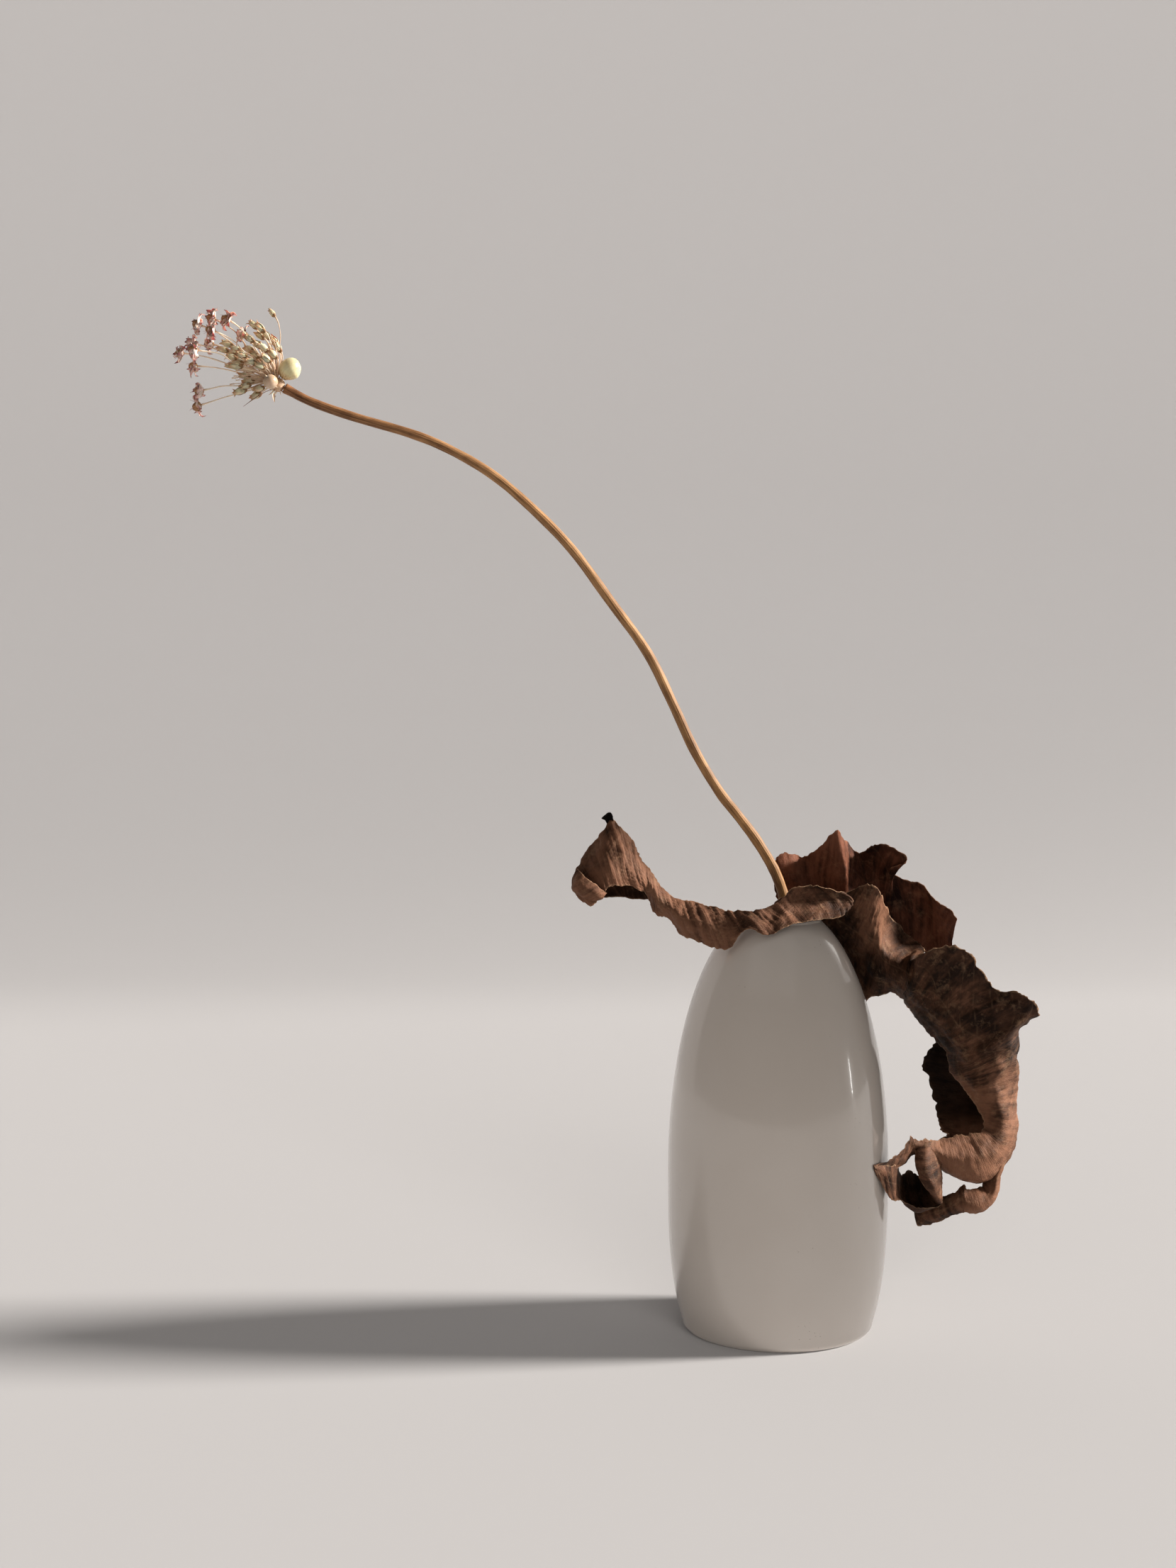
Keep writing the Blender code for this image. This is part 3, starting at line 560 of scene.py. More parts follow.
# The lobe that hangs under the right-hand leaf's rolled end.
LOWER_LOBE = [
    ((107, 4, -121), (110, 2, -121), (112, 2, -120), (116, 6, -119)),
    ((104, 8, -128), (106, 4, -130), (109, 1, -130), (112, 4, -129)),
    ((103, 6, -134), (105, 0, -137), (107, -2, -139), (109, 2, -141)),
    ((100, 2, -136), (100, -3, -139), (100, -5, -144), (101, -1, -148)),
    ((94, 0, -136), (93, -4, -140), (93, -5, -144), (94, -2, -147.5)),
    ((92.5, 1, -133.5), (91, -3, -139), (91, -4, -144), (92, -1, -148)),
    ((87, 0, -138), (86, -3, -142), (86, -4, -146), (87, -1, -149.5)),
    ((79, 1, -141), (78, -2, -145), (78, -3, -149), (80, 0, -152.5)),
    ((72, 2, -144), (71, -1, -148), (72, -1, -152), (74, 1, -154.5)),
    ((68, 3, -145), (68, 1, -149), (69, 1, -153), (70, 2, -155)),
]


def stalk_ribs(angle, turn, across):
    """Control ribs of the flat stalk that stands against the inside of the mouth, in mm, as in the CAD."""
    place_radius, half_width = 14.0, 2.0
    outward = Vector((math.cos(angle), math.sin(angle), 0))
    sideways = Vector((-outward.y, outward.x, 0)) * turn * half_width
    ribs = []
    for height in (-60, -30, -3.5, 0, 3.5):
        centre = outward * place_radius + Vector((0, 0, height))
        ribs.append([centre + sideways * (2 * step / (across - 1) - 1) for step in range(across)])
    return ribs


def clear_of_vase(grid, gap):
    """Moves the points of a leaf out of the vase's wall, to the nearer side of it."""
    rim = RIM / MM
    lip_middle = 16.8
    for point in grid.reshape(-1, 3):
        if point[2] > rim + gap:
            continue
        radius = math.hypot(point[0], point[1])
        if radius > lip_middle:
            wanted = max(radius, outer_radius(min(point[2], rim)) + gap)
        else:
            wanted = min(radius, MOUTH - gap)
        point[:2] *= wanted / radius


def run_along(grid, axis):
    """The distance in mm along one axis of the grid, averaged over the other."""
    steps = np.linalg.norm(np.diff(grid, axis=axis), axis=2).mean(axis=1 - axis)
    run = np.concatenate([[0.0], np.cumsum(steps)])
    return np.expand_dims(run, 1 - axis) + np.zeros(grid.shape[:2])


def ridged(values):
    """Noise turned into sharp ridges where it passes through zero."""
    return 1 - 3.2 * np.abs(values)


def ramp(values, low, high):
    return np.clip((values - low) / (high - low), 0, 1)


def make_leaf(name, node, ribs, paint, tone, seed, slant, pleat, crease, torn, across):
    """A thin crumpled sheet through the ribs, with creases, fine pleats across it, torn edges and side veins.

    slant leans the pleats along the leaf. pleat, crease and torn say how strong each of them is.
    """
    vein_pitch, ragged_width, worn_width = 9.0, 3.0, 0.55
    grid = smooth_grid(ribs, 10, across)
    grid[:, :, 2] += RIM / MM
    u, v = run_along(grid, 0), run_along(grid, 1)
    width = v[:, -1:]
    lean = u + slant * v
    crumple = ridged(field(grid, 0.09, seed)) + 0.5 * ridged(field(grid, 0.21, seed + 1))
    pleats = np.zeros(u.shape)
    for pitch, weight in ((0.30, 1.0), (0.62, 0.6), (1.3, 0.3)):
        streaks = np.stack([lean * pitch, v * pitch * 0.16, np.full_like(u, seed + pitch)], axis=2)
        pleats += weight * ridged(field(streaks, 1.0, seed + 2))
    from_middle = np.abs(v - width / 2)
    wander = 2.0 * field(grid, 0.05, seed + 7)
    side_vein = np.abs((u + 0.9 * from_middle + wander) / vein_pitch % 1 - 0.5)
    vein = ramp(-side_vein * vein_pitch, -0.35, 0) * 0.8 + ramp(-from_middle, -0.5, 0) * 0.5
    swell = crease * crumple + pleat * pleats + 0.12 * field(grid, 0.9, seed + 6) + 0.25 * vein
    grid = grid + grid_normals(grid) * (0.5 * swell)[:, :, None]
    edge = np.minimum(v, width - v)
    inward = np.gradient(grid, axis=1)
    inward /= np.maximum(np.linalg.norm(inward, axis=2, keepdims=True), 1e-9)
    side = np.where(v < width / 2, 1.0, -1.0)
    ragged = 0.8 * field(grid, 0.22, seed + 4) + 0.7 * field(grid, 0.6, seed + 5)
    ragged += 0.4 * np.abs(field(grid, 1.6, seed + 8))
    pull = np.clip(1 - edge / ragged_width, 0, 1) ** 1.5 * (0.2 + ragged)
    grid = grid + inward * (side * pull * torn)[:, :, None]
    clear_of_vase(grid, 0.45)
    piece = new_piece(name, grid.reshape(-1, 3) * MM, grid_faces(*u.shape), paint)
    # The tone paints light and shade; the second value blackens a burnt tip and is painted shade elsewhere.
    light, burnt_and_shade = tone(grid - [0, 0, RIM / MM], u)
    # Crests paler from wear and creases darker as painted shade.
    store(piece, "crest_wear_and_crease_shade", np.clip(0.5 + 0.25 * (0.7 * crumple + pleats), 0, 1))
    store(piece, "tone", light)
    store(piece, "burnt_and_shade", burnt_and_shade)
    store(piece, "vein", np.clip(vein, 0, 1))
    store(piece, "edge", np.clip(1 - edge / worn_width, 0, 1))
    store_flow(piece, np.stack([lean, v, np.full_like(u, seed)], axis=2))
    shell = piece.modifiers.new("Solidify", "SOLIDIFY")
    shell.thickness = LEAF * MM
    shell.offset = 0
    if node:
        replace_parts(piece, node)


# Each tone function says how light and how black a leaf is made at its points, mostly as painted light
# and painted shade, and as the black of a burnt tip. It is given their places, as in the control ribs, and
# their distances along the leaf.


def left_tone(place, along):
    # Painted light and shade: light along the strip, a little darker on the hood, paler at the flap and
    # darker at the right-hand end by the mouth.
    x, z = place[:, :, 0], place[:, :, 2]
    hood = ramp(-x, 60, 75)
    flap = ramp(-x, 86, 92) * ramp(-z, -19, -15)
    return 0.76 - 0.1 * hood + 0.2 * flap - 0.5 * ramp(x, -8, 16), 0 * x


def even_tone(light, burnt_and_shade):
    """A tone function for a leaf that is the same all over."""
    return lambda place, along: (np.full_like(along, light), np.full_like(along, burnt_and_shade))


def back_tone(place, along):
    # Painted light: lighter where light falls, on the part left of x = 36 mm and towards the right-hand end.
    x = place[:, :, 0]
    return np.where(x < 36, 0.72, 0.0) + 0.6 * ramp(x, 60, 80), 0 * x


def right_tone(place, along):
    x, y, z = place[:, :, 0], place[:, :, 1], place[:, :, 2]
    # Painted light on the lower tube and along the strip by the rim; painted shade darkens the rolled end and
    # the right-hand side, and blackens the inner panel.
    low = ramp(-z, 66, 92)
    lit_strip = ramp(x, 36, 44) * (1 - ramp(x, 70, 76)) * ramp(z, -26, -14) * np.where(x > 56, ramp(y, 0, 6), 1)
    curl = ramp(-z, 100, 106) * (1 - ramp(x, 64, 80))
    inner = ramp(y, 12, 20) * ramp(-z, 56, 64) * (1 - ramp(-z, 104, 112)) * (1 - ramp(x, 108, 116))
    shaded = ramp(x, 104, 116) * ramp(-z, 60, 80)
    return 0.06 + 0.74 * low + 0.55 * lit_strip - 0.12 * shaded - 0.6 * curl, 0.85 * inner


def lobe_tone(place, along):
    # Painted light: lighter towards the right-hand end, which faces the light.
    return 0.25 + 0.5 * ramp(place[:, :, 0], 90, 100), 0 * along


def loop_tone(place, along):
    # Painted shade: darker and partly black where the edge rolls over.
    rolled = ramp(along, 30, 36) * (1 - ramp(along, 54, 60))
    return 0.32 - 0.1 * rolled, 0.6 * rolled


def make_leaves():
    umber = (0.016, 0.0075, 0.0045), (0.066, 0.030, 0.017), (0.20, 0.094, 0.055), (0.44, 0.27, 0.16)
    russet = (0.016, 0.006, 0.004), (0.075, 0.026, 0.014), (0.175, 0.064, 0.035), (0.36, 0.19, 0.11)
    dark = leaf_paint("leaf_umber", "dry_leaf_dark", *umber)
    red = leaf_paint("leaf_russet", "dry_leaf_red", *russet)
    left = stalk_ribs(math.radians(-95), 1, 4) + LEFT_LEAF
    back = stalk_ribs(math.radians(75), -1, 4) + BACK_LEAF
    right = stalk_ribs(math.radians(42), 1, 5) + RIGHT_LEAF
    # After the tone come the seed, slant, pleat, crease and torn, and the fineness across.
    make_leaf("leaf_left_blade", "leaf_left", left, dark, left_tone, 1.0, 0.6, 0.75, 0.7, 0.9, 12)
    make_leaf("leaf_back_blade", "leaf_back", back, red, back_tone, 2.0, 0.2, 0.1, 0.6, 1.2, 10)
    make_leaf("leaf_right_blade", "leaf_right", right, dark, right_tone, 3.0, 0.3, 0.32, 0.9, 1.7, 10)
    # Painted shade: the hood's far side is made dark and partly black.
    make_leaf("leaf_left_hood", None, HOOD_BACK, dark, even_tone(0.2, 0.35), 1.5, 0.6, 0.2, 0.3, 0.4, 8)
    make_leaf("leaf_left_flap", None, HOOD_FLAP, dark, even_tone(0.75, 0.0), 1.9, 0.6, 0.2, 0.2, 0.6, 8)
    make_leaf("leaf_left_tip", None, HOOD_TIP, dark, even_tone(0.0, 1.0), 1.7, 0.3, 0.2, 0.4, 0.6, 6)
    make_leaf("leaf_right_loop", None, LOOP, dark, loop_tone, 5.0, 0.3, 0.12, 0.25, 1.0, 8)
    make_leaf("leaf_right_lobe", None, LOWER_LOBE, dark, lobe_tone, 4.0, 0.3, 0.15, 0.4, 1.2, 8)


# ---------------- stem and flower head

# The stem's middle line above the rim, as (x, y, height above the rim) in mm.
STEM_PATH = [
    (4.5, 2, 0), (2.9, 2, 8), (-0.6, 1.5, 18.5), (-5, 1, 27.5), (-12.6, 0.5, 39.5), (-21, 0, 50.5),
    (-30, 0, 62), (-42, 0, 82), (-52.5, 0, 104.5), (-65, 0, 129.5), (-83, 0, 154.5), (-102, 0, 180),
    (-121.5, 0, 200), (-140.5, 0, 216), (-160, 0, 227.5), (-179, 0, 235.5), (-208, 0, 244),
    (-228, 0, 251),
]
KNOB = (Vector(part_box("umbel_base")[0]) + Vector(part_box("umbel_base")[1])) / 2 / MM
KNOB_RADIUS = 3.4
# Places of the flower heads from the knob's middle, in mm, as in the CAD.
FLORETS = [
    (-40, -3, 29), (-34, 3, 33), (-33, -6, 26), (-26, -2, 32), (-20, 7, 26), (-44, 5, 20.5),
    (-49, -2, 15), (-41, -9, 16), (-43, 2, 9), (-39.5, -2, -3.5), (-41.5, 4, -10.5), (-36, 10, 21),
]
DRY_BUDS = [
    (-3, 2, 35), (-13, 6, 30), (-8.5, -3, 27.5), (-2.5, 4, 22), (-25, 0, 20), (-21.5, 12, 14.5),
    (-20, -6, 8.5), (-10.5, 1, 20), (-18.5, -3, -3.5), (-12, 4, -5),
]
# Smaller closed flowers crowded between the ones above.
CROWDED_BUDS = [
    (-27.5, 4, 17.5), (-22.5, -4, 13), (-24, 3, 9.5), (-17, -8, 14), (-15.5, 9, 18.5), (-17.5, 5, 25),
    (-10, 9, 25), (0, -2, 18.5), (-6.5, -6, 17.5), (-12.5, -8, 10.5), (-15, 8, 8), (-8.5, -7, 8.5),
    (-10, 10, 13), (-14.5, -2, 1.5), (-9.5, -4, -2.5), (-4.5, 9, 16), (-24, 8, 16), (-20, 1, 11),
    (-18.5, 7, 11.5), (-20.5, -2, 17), (-13.5, -5, 22), (-6, 2, 24.5), (-2, -6, 14.5), (-12, 2, 15),
    (-7, 5, 12), (-17, 1, 4.5), (-12, 8, 3), (-5, -8, 12), (-16, -4, -1),
]


class Shape:
    """Points, faces and point values of a piece made of many lofted strands, in mm."""

    def __init__(self):
        self.points = []
        self.faces = []
        self.values = {"tone": [], "stripe": [], "seed": []}
        self.flow = []

    def loft(self, path, side, widths, depths, tones, count, cup=0.0, ripple=None, seed=0.0):
        """A closed strand along the path. widths and depths are half its oval section's, row by row."""
        path = np.asarray(path, float)
        ahead = np.gradient(path, axis=0)
        ahead /= np.maximum(np.linalg.norm(ahead, axis=1, keepdims=True), 1e-9)
        run = distances(path)
        start = len(self.points)
        for row, (place, tangent) in enumerate(zip(path, ahead)):
            across = np.asarray(side, float) - tangent * np.dot(side, tangent)
            across /= max(np.linalg.norm(across), 1e-9)
            normal = np.cross(tangent, across)
            for step in range(count):
                angle = 2 * math.pi * step / count
                scale = ripple(row, angle) if ripple else 1.0
                out = widths[row] * scale * math.cos(angle)
                rise = depths[row] * scale * math.sin(angle) + cup * widths[row] * math.cos(angle) ** 2
                self.points.append(tuple(place + across * out + normal * rise))
                self.values["tone"].append(tones[row])
                self.values["stripe"].append(1 - abs(math.cos(angle)))
                self.values["seed"].append(seed)
                self.flow.append((math.cos(angle) * widths[row], math.sin(angle) * widths[row], run[row]))
        rows = len(path)
        for row in range(rows - 1):
            for step in range(count):
                first = start + row * count + step
                beside = start + row * count + (step + 1) % count
                self.faces.append((first, beside, beside + count, first + count))
        self.faces.append(tuple(start + step for step in reversed(range(count))))
        self.faces.append(tuple(start + (rows - 1) * count + step for step in range(count)))

    def piece(self, name, paint):
        made = new_piece(name, np.array(self.points) * MM, self.faces, paint)
        for label, values in self.values.items():
            store(made, label, values)
        store_flow(made, self.flow)
        return made


def any_side(direction):
    """A direction square to this one."""
    level = Vector((0, 1, 0)) if abs(direction.y) < 0.8 else Vector((1, 0, 0))
    return direction.cross(level).normalized()


def scatter(rng):
    return Vector(rng.normal(size=3))


def around(axis, side, angle):
    """The direction square to the axis at this angle from the side."""
    return side * math.cos(angle) + axis.cross(side) * math.sin(angle)


def make_stem(paint):
    """The ribbed, slightly wavy stem, from the vase's floor to the knob."""
    foot_radius, thinning, end_flare = 2.78, 0.66, 0.35
    rim = RIM / MM
    above = [Vector((x, y, rim + rise)) for x, y, rise in STEM_PATH]
    foot = Vector((0.55 * VASE_RADIUS / MM, above[0].y, FLOOR + 0.3))
    knee = foot + Vector((0, 0, 0.12 * rim))
    middle = knee.lerp(above[0], 0.5) + Vector((2.5, 0, 0))
    tip = KNOB - (KNOB - above[-1]).normalized() * (KNOB_RADIUS + 0.3)
    path = catmull([foot, foot.lerp(knee, 0.5), knee, middle, *above, tip], 14)
    share = np.linspace(0, 1, len(path))
    radii = foot_radius - thinning * share
    radii *= 1 + 0.02 * np.sin(share * 90) + 0.015 * np.sin(share * 213 + 1)
    radii[-6:] += np.linspace(0, end_flare, 6)

    def ribs(row, angle):
        deep = 0.055 * abs(math.sin(7.5 * angle + 0.9 * math.sin(row * 0.02)))
        fine = 0.012 * math.sin(23 * angle + row * 0.015)
        return 0.955 + deep + fine

    shape = Shape()
    shape.loft(path, (0, 1, 0), radii, radii, share, 60, ripple=ribs)
    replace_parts(shape.piece("stem_ribbed", paint), "allium_stem")


def make_knob(paint):
    """The swollen stem end: a squat lobed knob, with the stubs and stalk scars of shed flowers."""
    rng = np.random.default_rng(5)
    shape = Shape()
    half, rows, stubs = 3.3, 15, 46
    x, y, rise = STEM_PATH[-1]
    axis = (KNOB - Vector((x, y, RIM / MM + rise))).normalized()
    share = np.linspace(-1, 1, rows)
    radii = half * np.sqrt(np.maximum(1 - np.abs(share) ** 2.4, 0.02))
    path = [KNOB + axis * half * step for step in share]
    lobes = lambda row, angle: 1 + 0.05 * math.cos(9 * angle)
    shape.loft(path, any_side(axis), radii, radii, np.full(rows, 0.3), 30, ripple=lobes)
    for _ in range(stubs):
        out = (scatter(rng) + axis * 0.9).normalized()
        start = KNOB + out * 2.9
        bend = out + scatter(rng) * 0.25
        length = rng.uniform(1.2, 3.4)
        line = [start, start + out * length * 0.5, start + (out + bend) * length * 0.5]
        radius = rng.uniform(0.16, 0.3)
        widths = [radius * 1.3, radius, radius * 0.7]
        shape.loft(line, any_side(out), widths, [radius] * 3, [0.3, 0.5, 0.8], 6)
    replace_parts(shape.piece("umbel_knob", paint), "umbel_base")


def head_place(place, length):
    """The knob end and the flower end of a pedicel, and the way that the flower faces."""
    offset = Vector(place)
    spread = Vector((offset.x, 3 * offset.y, offset.z + 6)).normalized()
    root = KNOB + spread * 3.0
    facing = (offset.normalized() + Vector((-0.5, 0, -0.25))).normalized()
    return root, spread, facing, KNOB + offset - facing * length / 2


def pedicel(shape, root, spread, facing, neck, rng, radius, pale=0.3):
    """The thin stalk of one flower: it arches from the knob, slightly kinked, and widens under the flower."""
    steps = 12
    reach = (neck - root).length
    knots = (root, root + spread * reach * 0.35, neck - facing * reach * 0.3, neck)
    wobble = scatter(rng) * reach * 0.012
    line = []
    for step in range(steps + 1):
        t = step / steps
        weights = ((1 - t) ** 3, 3 * t * (1 - t) ** 2, 3 * t * t * (1 - t), t**3)
        place = sum((knot * weight for knot, weight in zip(knots, weights)), Vector())
        line.append(place + wobble * math.sin(step * 0.9) * (1 - t**4))
    radii = np.full(steps + 1, radius) * (1 + 0.12 * rng.normal(size=steps + 1))
    radii[-2:] = radius * 1.3, radius * 1.9
    radii[0] = radius * 1.7
    tones = np.linspace(*((0.55, 1.0) if rng.random() < pale else (0.2, 0.55)), steps + 1)
    shape.loft(line, any_side(spread), radii, radii, tones, 7)


def tone_along(share, tones):
    """Tones spaced evenly over a strand, read off at these shares of its length."""
    return np.interp(share, np.linspace(0, 1, len(tones)), tones)


def petal(shape, base, axis, out, length, width, angles, tones, twist=0.0, cup=0.35):
    """A papery petal whose midline leans away from the axis by these angles, in degrees, from root to tip."""
    side = axis.cross(out)
    place = base
    line = [place]
    for number, angle in enumerate(angles):
        lean = math.radians(angle)
        turned = out * math.cos(twist * number) + side * math.sin(twist * number)
        place = place + (axis * math.cos(lean) + turned * math.sin(lean)) * length / len(angles)
        line.append(place)
    line = catmull(line, 2)
    share = np.linspace(0, 1, len(line))
    belly = np.sin(math.pi * np.clip(share * 0.9 + 0.08, 0, 1)) ** 0.8
    widths = width * (0.25 + 0.75 * belly) * (1 - 0.8 * share**5)
    shape.loft(line, side, widths, np.full(len(line), 0.09), tone_along(share, tones), 10, cup=cup)


def ovary(shape, base, axis, radius, length, tone):
    """A small three-lobed seed case."""
    share = np.linspace(0, 1, 8)
    radii = radius * np.sin(math.pi * (0.12 + 0.8 * share)) ** 0.7
    line = [base + axis * length * step for step in share]
    lobes = lambda row, angle: 1 + 0.16 * math.cos(3 * angle)
    shape.loft(line, any_side(axis), radii, radii, np.full(8, tone), 15, ripple=lobes, seed=1.0)


def make_floret(number, place, pink, straw):
    """A withered pink flower: curled petals with dark tips round a brown seed case, on its own stalk."""
    outer_petals, petals, hairs = 7, 18, 3
    rng = np.random.default_rng(100 + number)
    root, spread, facing, neck = head_place(place, 7.0)
    facing = (facing + Vector((0, -0.3, 0))).normalized()
    stalk = Shape()
    pedicel(stalk, root, spread, facing, neck, rng, 0.3, 0.8)
    stalk.piece(f"pedicel_{number:02d}", straw)
    head = Shape()
    ovary(head, neck - facing * 0.2, facing, rng.uniform(1.9, 2.5), rng.uniform(3.6, 4.6), 0.5)
    side = any_side(facing)
    start = rng.uniform(0, 6)
    for step in range(petals):
        inner = step >= outer_petals
        out = around(facing, side, start + step * math.pi / 3 + rng.normal() * 0.22 + (0.5 if inner else 0))
        lean = rng.uniform(12, 64) if inner else rng.uniform(46, 72)
        curl = rng.uniform(10, 42) * rng.choice([1, 1, 1, -0.8])
        angles = [lean + 22, lean, lean + curl * 0.5, lean + curl * 1.5, lean + curl * 3.0]
        length = rng.uniform(3.4, 6.2) if inner else rng.uniform(5.8, 7.6)
        tones = [0.7, 0.95, rng.uniform(0.85, 1.2), rng.uniform(0.8, 1.1), rng.uniform(0.4, 0.75), -0.05]
        petal(head, neck, facing, out, length, rng.uniform(1.5, 2.1), angles, tones, rng.normal() * 0.35)
    for _ in range(hairs):
        out = (facing + scatter(rng) * 0.45).normalized()
        tip = neck + out * rng.uniform(4.5, 6.5)
        line = [neck, neck.lerp(tip, 0.5) + scatter(rng) * 0.5, tip]
        head.loft(line, any_side(out), [0.12, 0.1, 0.07], [0.12, 0.1, 0.07], [0.6, 0.4, 0.1], 5)
    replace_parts(head.piece(f"floret_{number:02d}", pink), f"flower_{number:02d}")


def closed_flower(shape, neck, facing, rng, length, width):
    """A closed beige flower: six narrow pointed petals laid together, their tips just parted."""
    ovary(shape, neck - facing * 0.3, facing, width * 0.62, length * 0.55, 0.45)
    side = any_side(facing)
    start = rng.uniform(0, 6)
    for step in range(6):
        out = around(facing, side, start + step * math.pi / 3 + rng.normal() * 0.12)
        lean = rng.uniform(24, 34)
        part = rng.uniform(-25, 55)
        angles = [lean + 16, lean * 0.7, 0, -lean * 0.5, part]
        tones = [0.5, 0.8, rng.uniform(0.8, 1.0), 0.85, 0.6, 0.25]
        reach = length * rng.uniform(0.8, 1.1)
        petal(shape, neck, facing, out, reach, width * 0.7, angles, tones, rng.normal() * 0.1, 0.4)


def make_dry_bud(name, number, place, node, beige, straw, length, width):
    """A closed flower on its own stalk. It stands for a CAD node, or for none."""
    rng = np.random.default_rng(300 + number)
    root, spread, facing, neck = head_place(place, length)
    stalk = Shape()
    pedicel(stalk, root, spread, facing, neck, rng, 0.24)
    stalk.piece(f"{name}_pedicel_{number:02d}", straw)
    head = Shape()
    closed_flower(head, neck, facing, rng, length, width)
    flower = head.piece(f"{name}_{number:02d}", beige)
    if node:
        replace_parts(flower, node)


def make_bulbil(name, node, facing, diameter, paint, squash):
    """A waxy bulbil: a drop with faint ridges, a curved nub on it and a fibrous collar at the neck."""
    axis = Vector(facing).normalized()
    side = any_side(axis)
    base = KNOB + axis * (KNOB_RADIUS + 0.3)
    length = 1.02 * diameter
    share = np.linspace(0, 1, 25)
    radii = diameter / 2 * np.sqrt(np.maximum(1 - np.abs(2 * share - 1.04) ** 2.15, 0.004))
    radii[:3] = np.maximum(radii[:3], 1.1)
    bend = side * 0.12 * diameter
    path = [base + axis * length * step + bend * math.sin(math.pi * step) * squash for step in share]
    ridges = lambda row, angle: 1 + 0.008 * math.cos(4 * angle) + 0.012 * math.cos(2 * angle + 1)
    shape = Shape()
    shape.loft(path, side, radii, radii, share, 40, ripple=ridges)
    up = (axis + Vector((-0.25, 0, 0.75))).normalized()
    tip = base + axis * length * 0.5 + up * diameter * 0.47
    nub = [tip - up * 0.6, tip + up * 0.35, tip + up * 1.0, tip + up * 1.9 - axis * 0.2]
    nub_radii = [1.1, 0.5, 0.26, 0.12]
    shape.loft(nub, side, nub_radii, nub_radii, [1.0] * 4, 10)
    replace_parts(shape.piece(name, paint), node)


def sheath_slip(shape, points, width, tones):
    """A narrow papery slip through these points from the knob's middle, in mm."""
    path = catmull([KNOB + Vector(point) for point in points], 4)
    share = np.linspace(0, 1, len(path))
    widths = width * (0.45 + 0.55 * np.sin(math.pi * share)) * (1 - 0.85 * share**4)
    widths *= 1 + 0.12 * np.sin(share * 17)
    shape.loft(path, (0.3, 0.9, 0.2), widths, np.full(len(path), 0.1), tone_along(share, tones), 10, cup=0.3)


def make_sheath(paint):
    """What is left of the sheath that wrapped the head: a dark needle, a pale torn flap and short scales."""
    needle = Shape()
    needle_line = [(-3, -0.5, -2), (-8, -1.5, -4.6), (-12.5, -2, -7.6), (-16.5, -2.4, -10.6)]
    sheath_slip(needle, needle_line, 0.72, [0.5, 0.3, 0.1, 0.0])
    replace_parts(needle.piece("sheath_needle", paint), "bract_01")
    flap = Shape()
    flap_line = [(-0.8, -1.4, -2.8), (-2.0, -2.2, -4.6), (-2.0, -2.4, -6.6), (-1.4, -1.8, -8.6)]
    sheath_slip(flap, flap_line, 1.8, [0.8, 1, 1, 1])
    sheath_slip(flap, [(-1.6, -2.0, -2.4), (-3.2, -2.6, -4.2), (-4.2, -2.6, -5.2)], 0.9, [0.7, 1, 0.9])
    sheath_slip(flap, [(1.4, -1.2, -2.6), (2.3, -1.4, -3.6), (3.0, -1.4, -4.2)], 0.7, [0.5, 0.8, 0.9])
    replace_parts(flap.piece("sheath_flap", paint), "bract_02")


def make_loose_strands(straw, beige):
    """Stalks whose flowers have dropped, and shrivelled scraps among them."""
    stalks, pieces_of_sheath = 40, 30
    rng = np.random.default_rng(77)
    strands = Shape()
    for step in range(stalks):
        share = step / (stalks - 1)
        x = -28 * share**0.7 + rng.normal() * 1.5
        offset = Vector((x, rng.uniform(-7, 8), 24 - 26 * share + rng.normal() * 2))
        offset.length = rng.uniform(14, 25)
        pedicel(strands, *head_place(offset, 2.0), rng, rng.uniform(0.15, 0.24))
    strands.piece("bare_pedicels", straw)
    scraps = Shape()
    for _ in range(pieces_of_sheath):
        out = Vector((rng.uniform(-1.0, -0.1), rng.uniform(-0.45, 0.5), rng.uniform(-0.1, 1.1))).normalized()
        base = KNOB + out * rng.uniform(3.0, 5.5)
        axis = (out + scatter(rng) * 0.35).normalized()
        angles = list(rng.uniform(-20, 40, size=4))
        length, width = rng.uniform(2.5, 5), rng.uniform(0.4, 0.8)
        petal(scraps, base, axis, any_side(axis), length, width, angles, [0.5, 0.9, 0.7, 0.3])
    scraps.piece("sheath_scraps", beige)


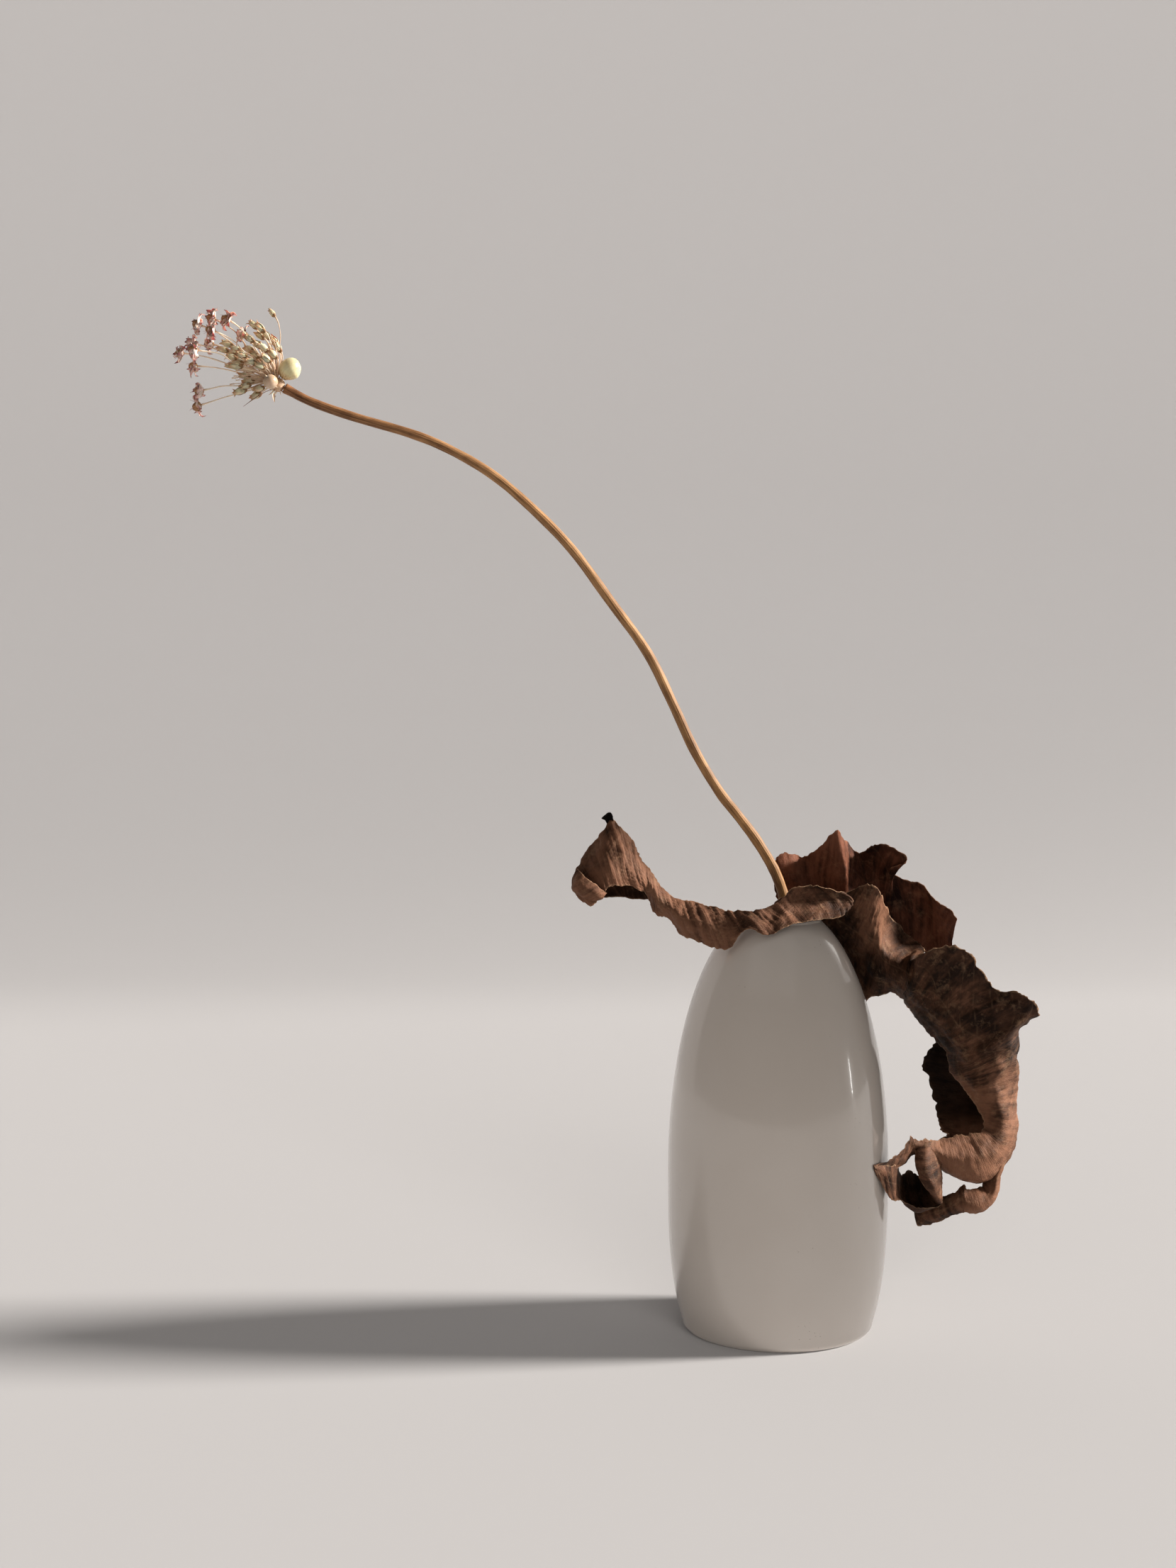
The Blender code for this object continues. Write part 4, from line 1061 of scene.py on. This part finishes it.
def make_head():
    """The flower head: its knob, flowers, bulbils, sheath and loose stalks."""
    # Each row: a petal's tip, middle and root, then the seed case.
    mauve = (0.085, 0.044, 0.048), (0.61, 0.33, 0.285), (0.93, 0.69, 0.62), (0.56, 0.29, 0.13)
    sand = (0.24, 0.13, 0.06), (0.56, 0.37, 0.20), (0.86, 0.72, 0.50), (0.42, 0.24, 0.10)
    husk = (0.1, 0.05, 0.025), (0.45, 0.3, 0.17), (0.8, 0.7, 0.55), (0.35, 0.18, 0.07)
    pink = petal_paint("petal_pink", "dry_petal_pink", *mauve, 0.25)
    beige = petal_paint("petal_beige", "dry_petal_beige", *sand, 0.3)
    papery = petal_paint("sheath_paper", "dry_bract", *husk, 0.3)
    waxy = skin_paint("bulbil_wax", (0.60, 0.53, 0.30), (0.72, 0.67, 0.44))
    tan = skin_paint("bulbil_tan", (0.46, 0.33, 0.22), (0.62, 0.47, 0.34))
    straw = strand_paint()
    make_knob(straw)
    for number, place in enumerate(FLORETS, 1):
        make_floret(number, place, pink, straw)
    for number, place in enumerate(DRY_BUDS, 1):
        size = (4.8, 1.8) if number == 1 else (7.4, 2.4)
        make_dry_bud("closed_flower", number, place, f"dry_bud_{number:02d}", beige, straw, *size)
    for number, place in enumerate(CROWDED_BUDS, 1):
        make_dry_bud("small_closed_flower", number, place, None, beige, straw, 6.8, 2.1)
    make_bulbil("bulbil_large_drop", "bulbil_large", (8.5, 0, 8), 10.6, waxy, 1.0)
    make_bulbil("bulbil_small_drop", "bulbil_small", (-3.1, -8, 0.9), 7.0, tan, 0.0)
    make_sheath(papery)
    make_loose_strands(straw, beige)


# ---------------- stage


def make_stage():
    """A pale floor that curves up into a plain pale wall behind."""
    front, depth, bend, top, half, steps = -4.0, 1.6, 0.5, 3.0, 4.0, 12
    profile = [(front, 0.0), (depth - bend, 0.0)]
    for step in range(1, steps + 1):
        angle = step * math.pi / 2 / steps
        profile.append((depth - bend + bend * math.sin(angle), bend * (1 - math.cos(angle))))
    profile.append((depth, top))
    mesh = bpy.data.meshes.new("stage_floor")
    points = [(x, y, z) for y, z in profile for x in (-half, half)]
    mesh.from_pydata(points, [], [(2 * i, 2 * i + 1, 2 * i + 3, 2 * i + 2) for i in range(len(profile) - 1)])
    mesh.shade_smooth()
    floor = new_object("stage_floor", mesh)
    plaster = bpy.data.materials.new("stage_plaster")
    plaster.use_nodes = True
    shader = plaster.node_tree.nodes["Principled BSDF"]
    shader.inputs["Base Color"].default_value = (0.36, 0.352, 0.355, 1.0)
    shader.inputs["Roughness"].default_value = 0.9
    mesh.materials.append(plaster)
    return floor


def shine(name, data, place, target, strength, colour):
    """Puts a light at a place and turns it to the target."""
    data.energy = strength
    data.color = colour
    light = new_object(name, data)
    light.location = place
    light.rotation_euler = (Vector(target) - Vector(place)).to_track_quat("-Z", "Y").to_euler()
    return light


def add_panel(name, place, target, size, power, colour):
    """A rectangular light near the object."""
    data = bpy.data.lights.new(name, "AREA")
    data.shape = "RECTANGLE"
    data.size, data.size_y = size
    return shine(name, data, place, target, power, colour)


def limit_light(light, piece, state):
    """Lets a light reach only this piece, or all but this piece, as a studio's flags do."""
    flag = bpy.data.collections.new(light.name + "_flag")
    flag.objects.link(piece)
    light.light_linking.receiver_collection = flag
    flag.collection_objects[0].light_linking.link_state = state


def add_sun(name, place, strength, spread, colour):
    """A far light that shines from this side, the same all over the set."""
    data = bpy.data.lights.new(name, "SUN")
    data.angle = math.radians(spread)
    return shine(name, data, place, (0.0, 0.0, 0.0), strength, colour)


def make_lights(vase, floor):
    """A low key from the right that misses the vase, lights for the vase or stage alone, and soft fill."""
    warm = (1.0, 0.955, 0.90)
    key = add_sun("window_right", (2.2, 0.12, 1.08), 9.2, 12.0, warm)
    limit_light(key, vase, "EXCLUDE")
    edge = add_panel("vase_edge", (1.3, 1.0, 1.0), (0.0, 0.0, 0.15), (0.5, 0.6), 1.5, (1.0, 0.95, 0.89))
    limit_light(edge, vase, "INCLUDE")
    top = add_panel("vase_top", (-0.3, -0.9, 1.7), (0.0, 0.0, 0.18), (2.4, 1.6), 2.6, (1.0, 0.95, 0.9))
    limit_light(top, vase, "INCLUDE")
    add_panel("glint", (1.45, -0.22, 0.20), (0.0, 0.0, 0.12), (0.02, 0.16), 0.35, (1.0, 0.98, 0.95))
    wash = add_sun("wall_wash", (0.3, -2.2, 0.35), 3.7, 50.0, (1.0, 0.955, 0.905))
    limit_light(wash, floor, "INCLUDE")
    fill = add_panel("fill_front", (-1.4, -2.4, 1.2), (0.0, 0.0, 0.2), (1.6, 1.6), 6.5, (1.0, 0.94, 0.88))
    fill.visible_glossy = False
    world = bpy.data.worlds.new("soft_room")
    world.use_nodes = True
    backdrop = world.node_tree.nodes["Background"]
    backdrop.inputs["Color"].default_value = (0.90, 0.88, 0.86, 1.0)
    backdrop.inputs["Strength"].default_value = 0.10
    bpy.context.scene.world = world
    bpy.context.scene.view_settings.view_transform = "Standard"


def make_camera():
    """The photo's point of view: a little above the flower's middle, looking slightly down."""
    tilt_down = 4
    data = bpy.data.cameras.new("camera")
    data.lens = 53.7
    data.sensor_width = 36.0
    camera = new_object("camera", data)
    camera.location = (-0.0941, -1.1439, 0.3504)
    camera.rotation_euler = (math.radians(90 - tilt_down), 0, 0)
    bpy.context.scene.camera = camera


make_camera()
make_lights(make_vase(glaze_paint()), make_stage())
make_leaves()
make_stem(stem_paint())
make_head()
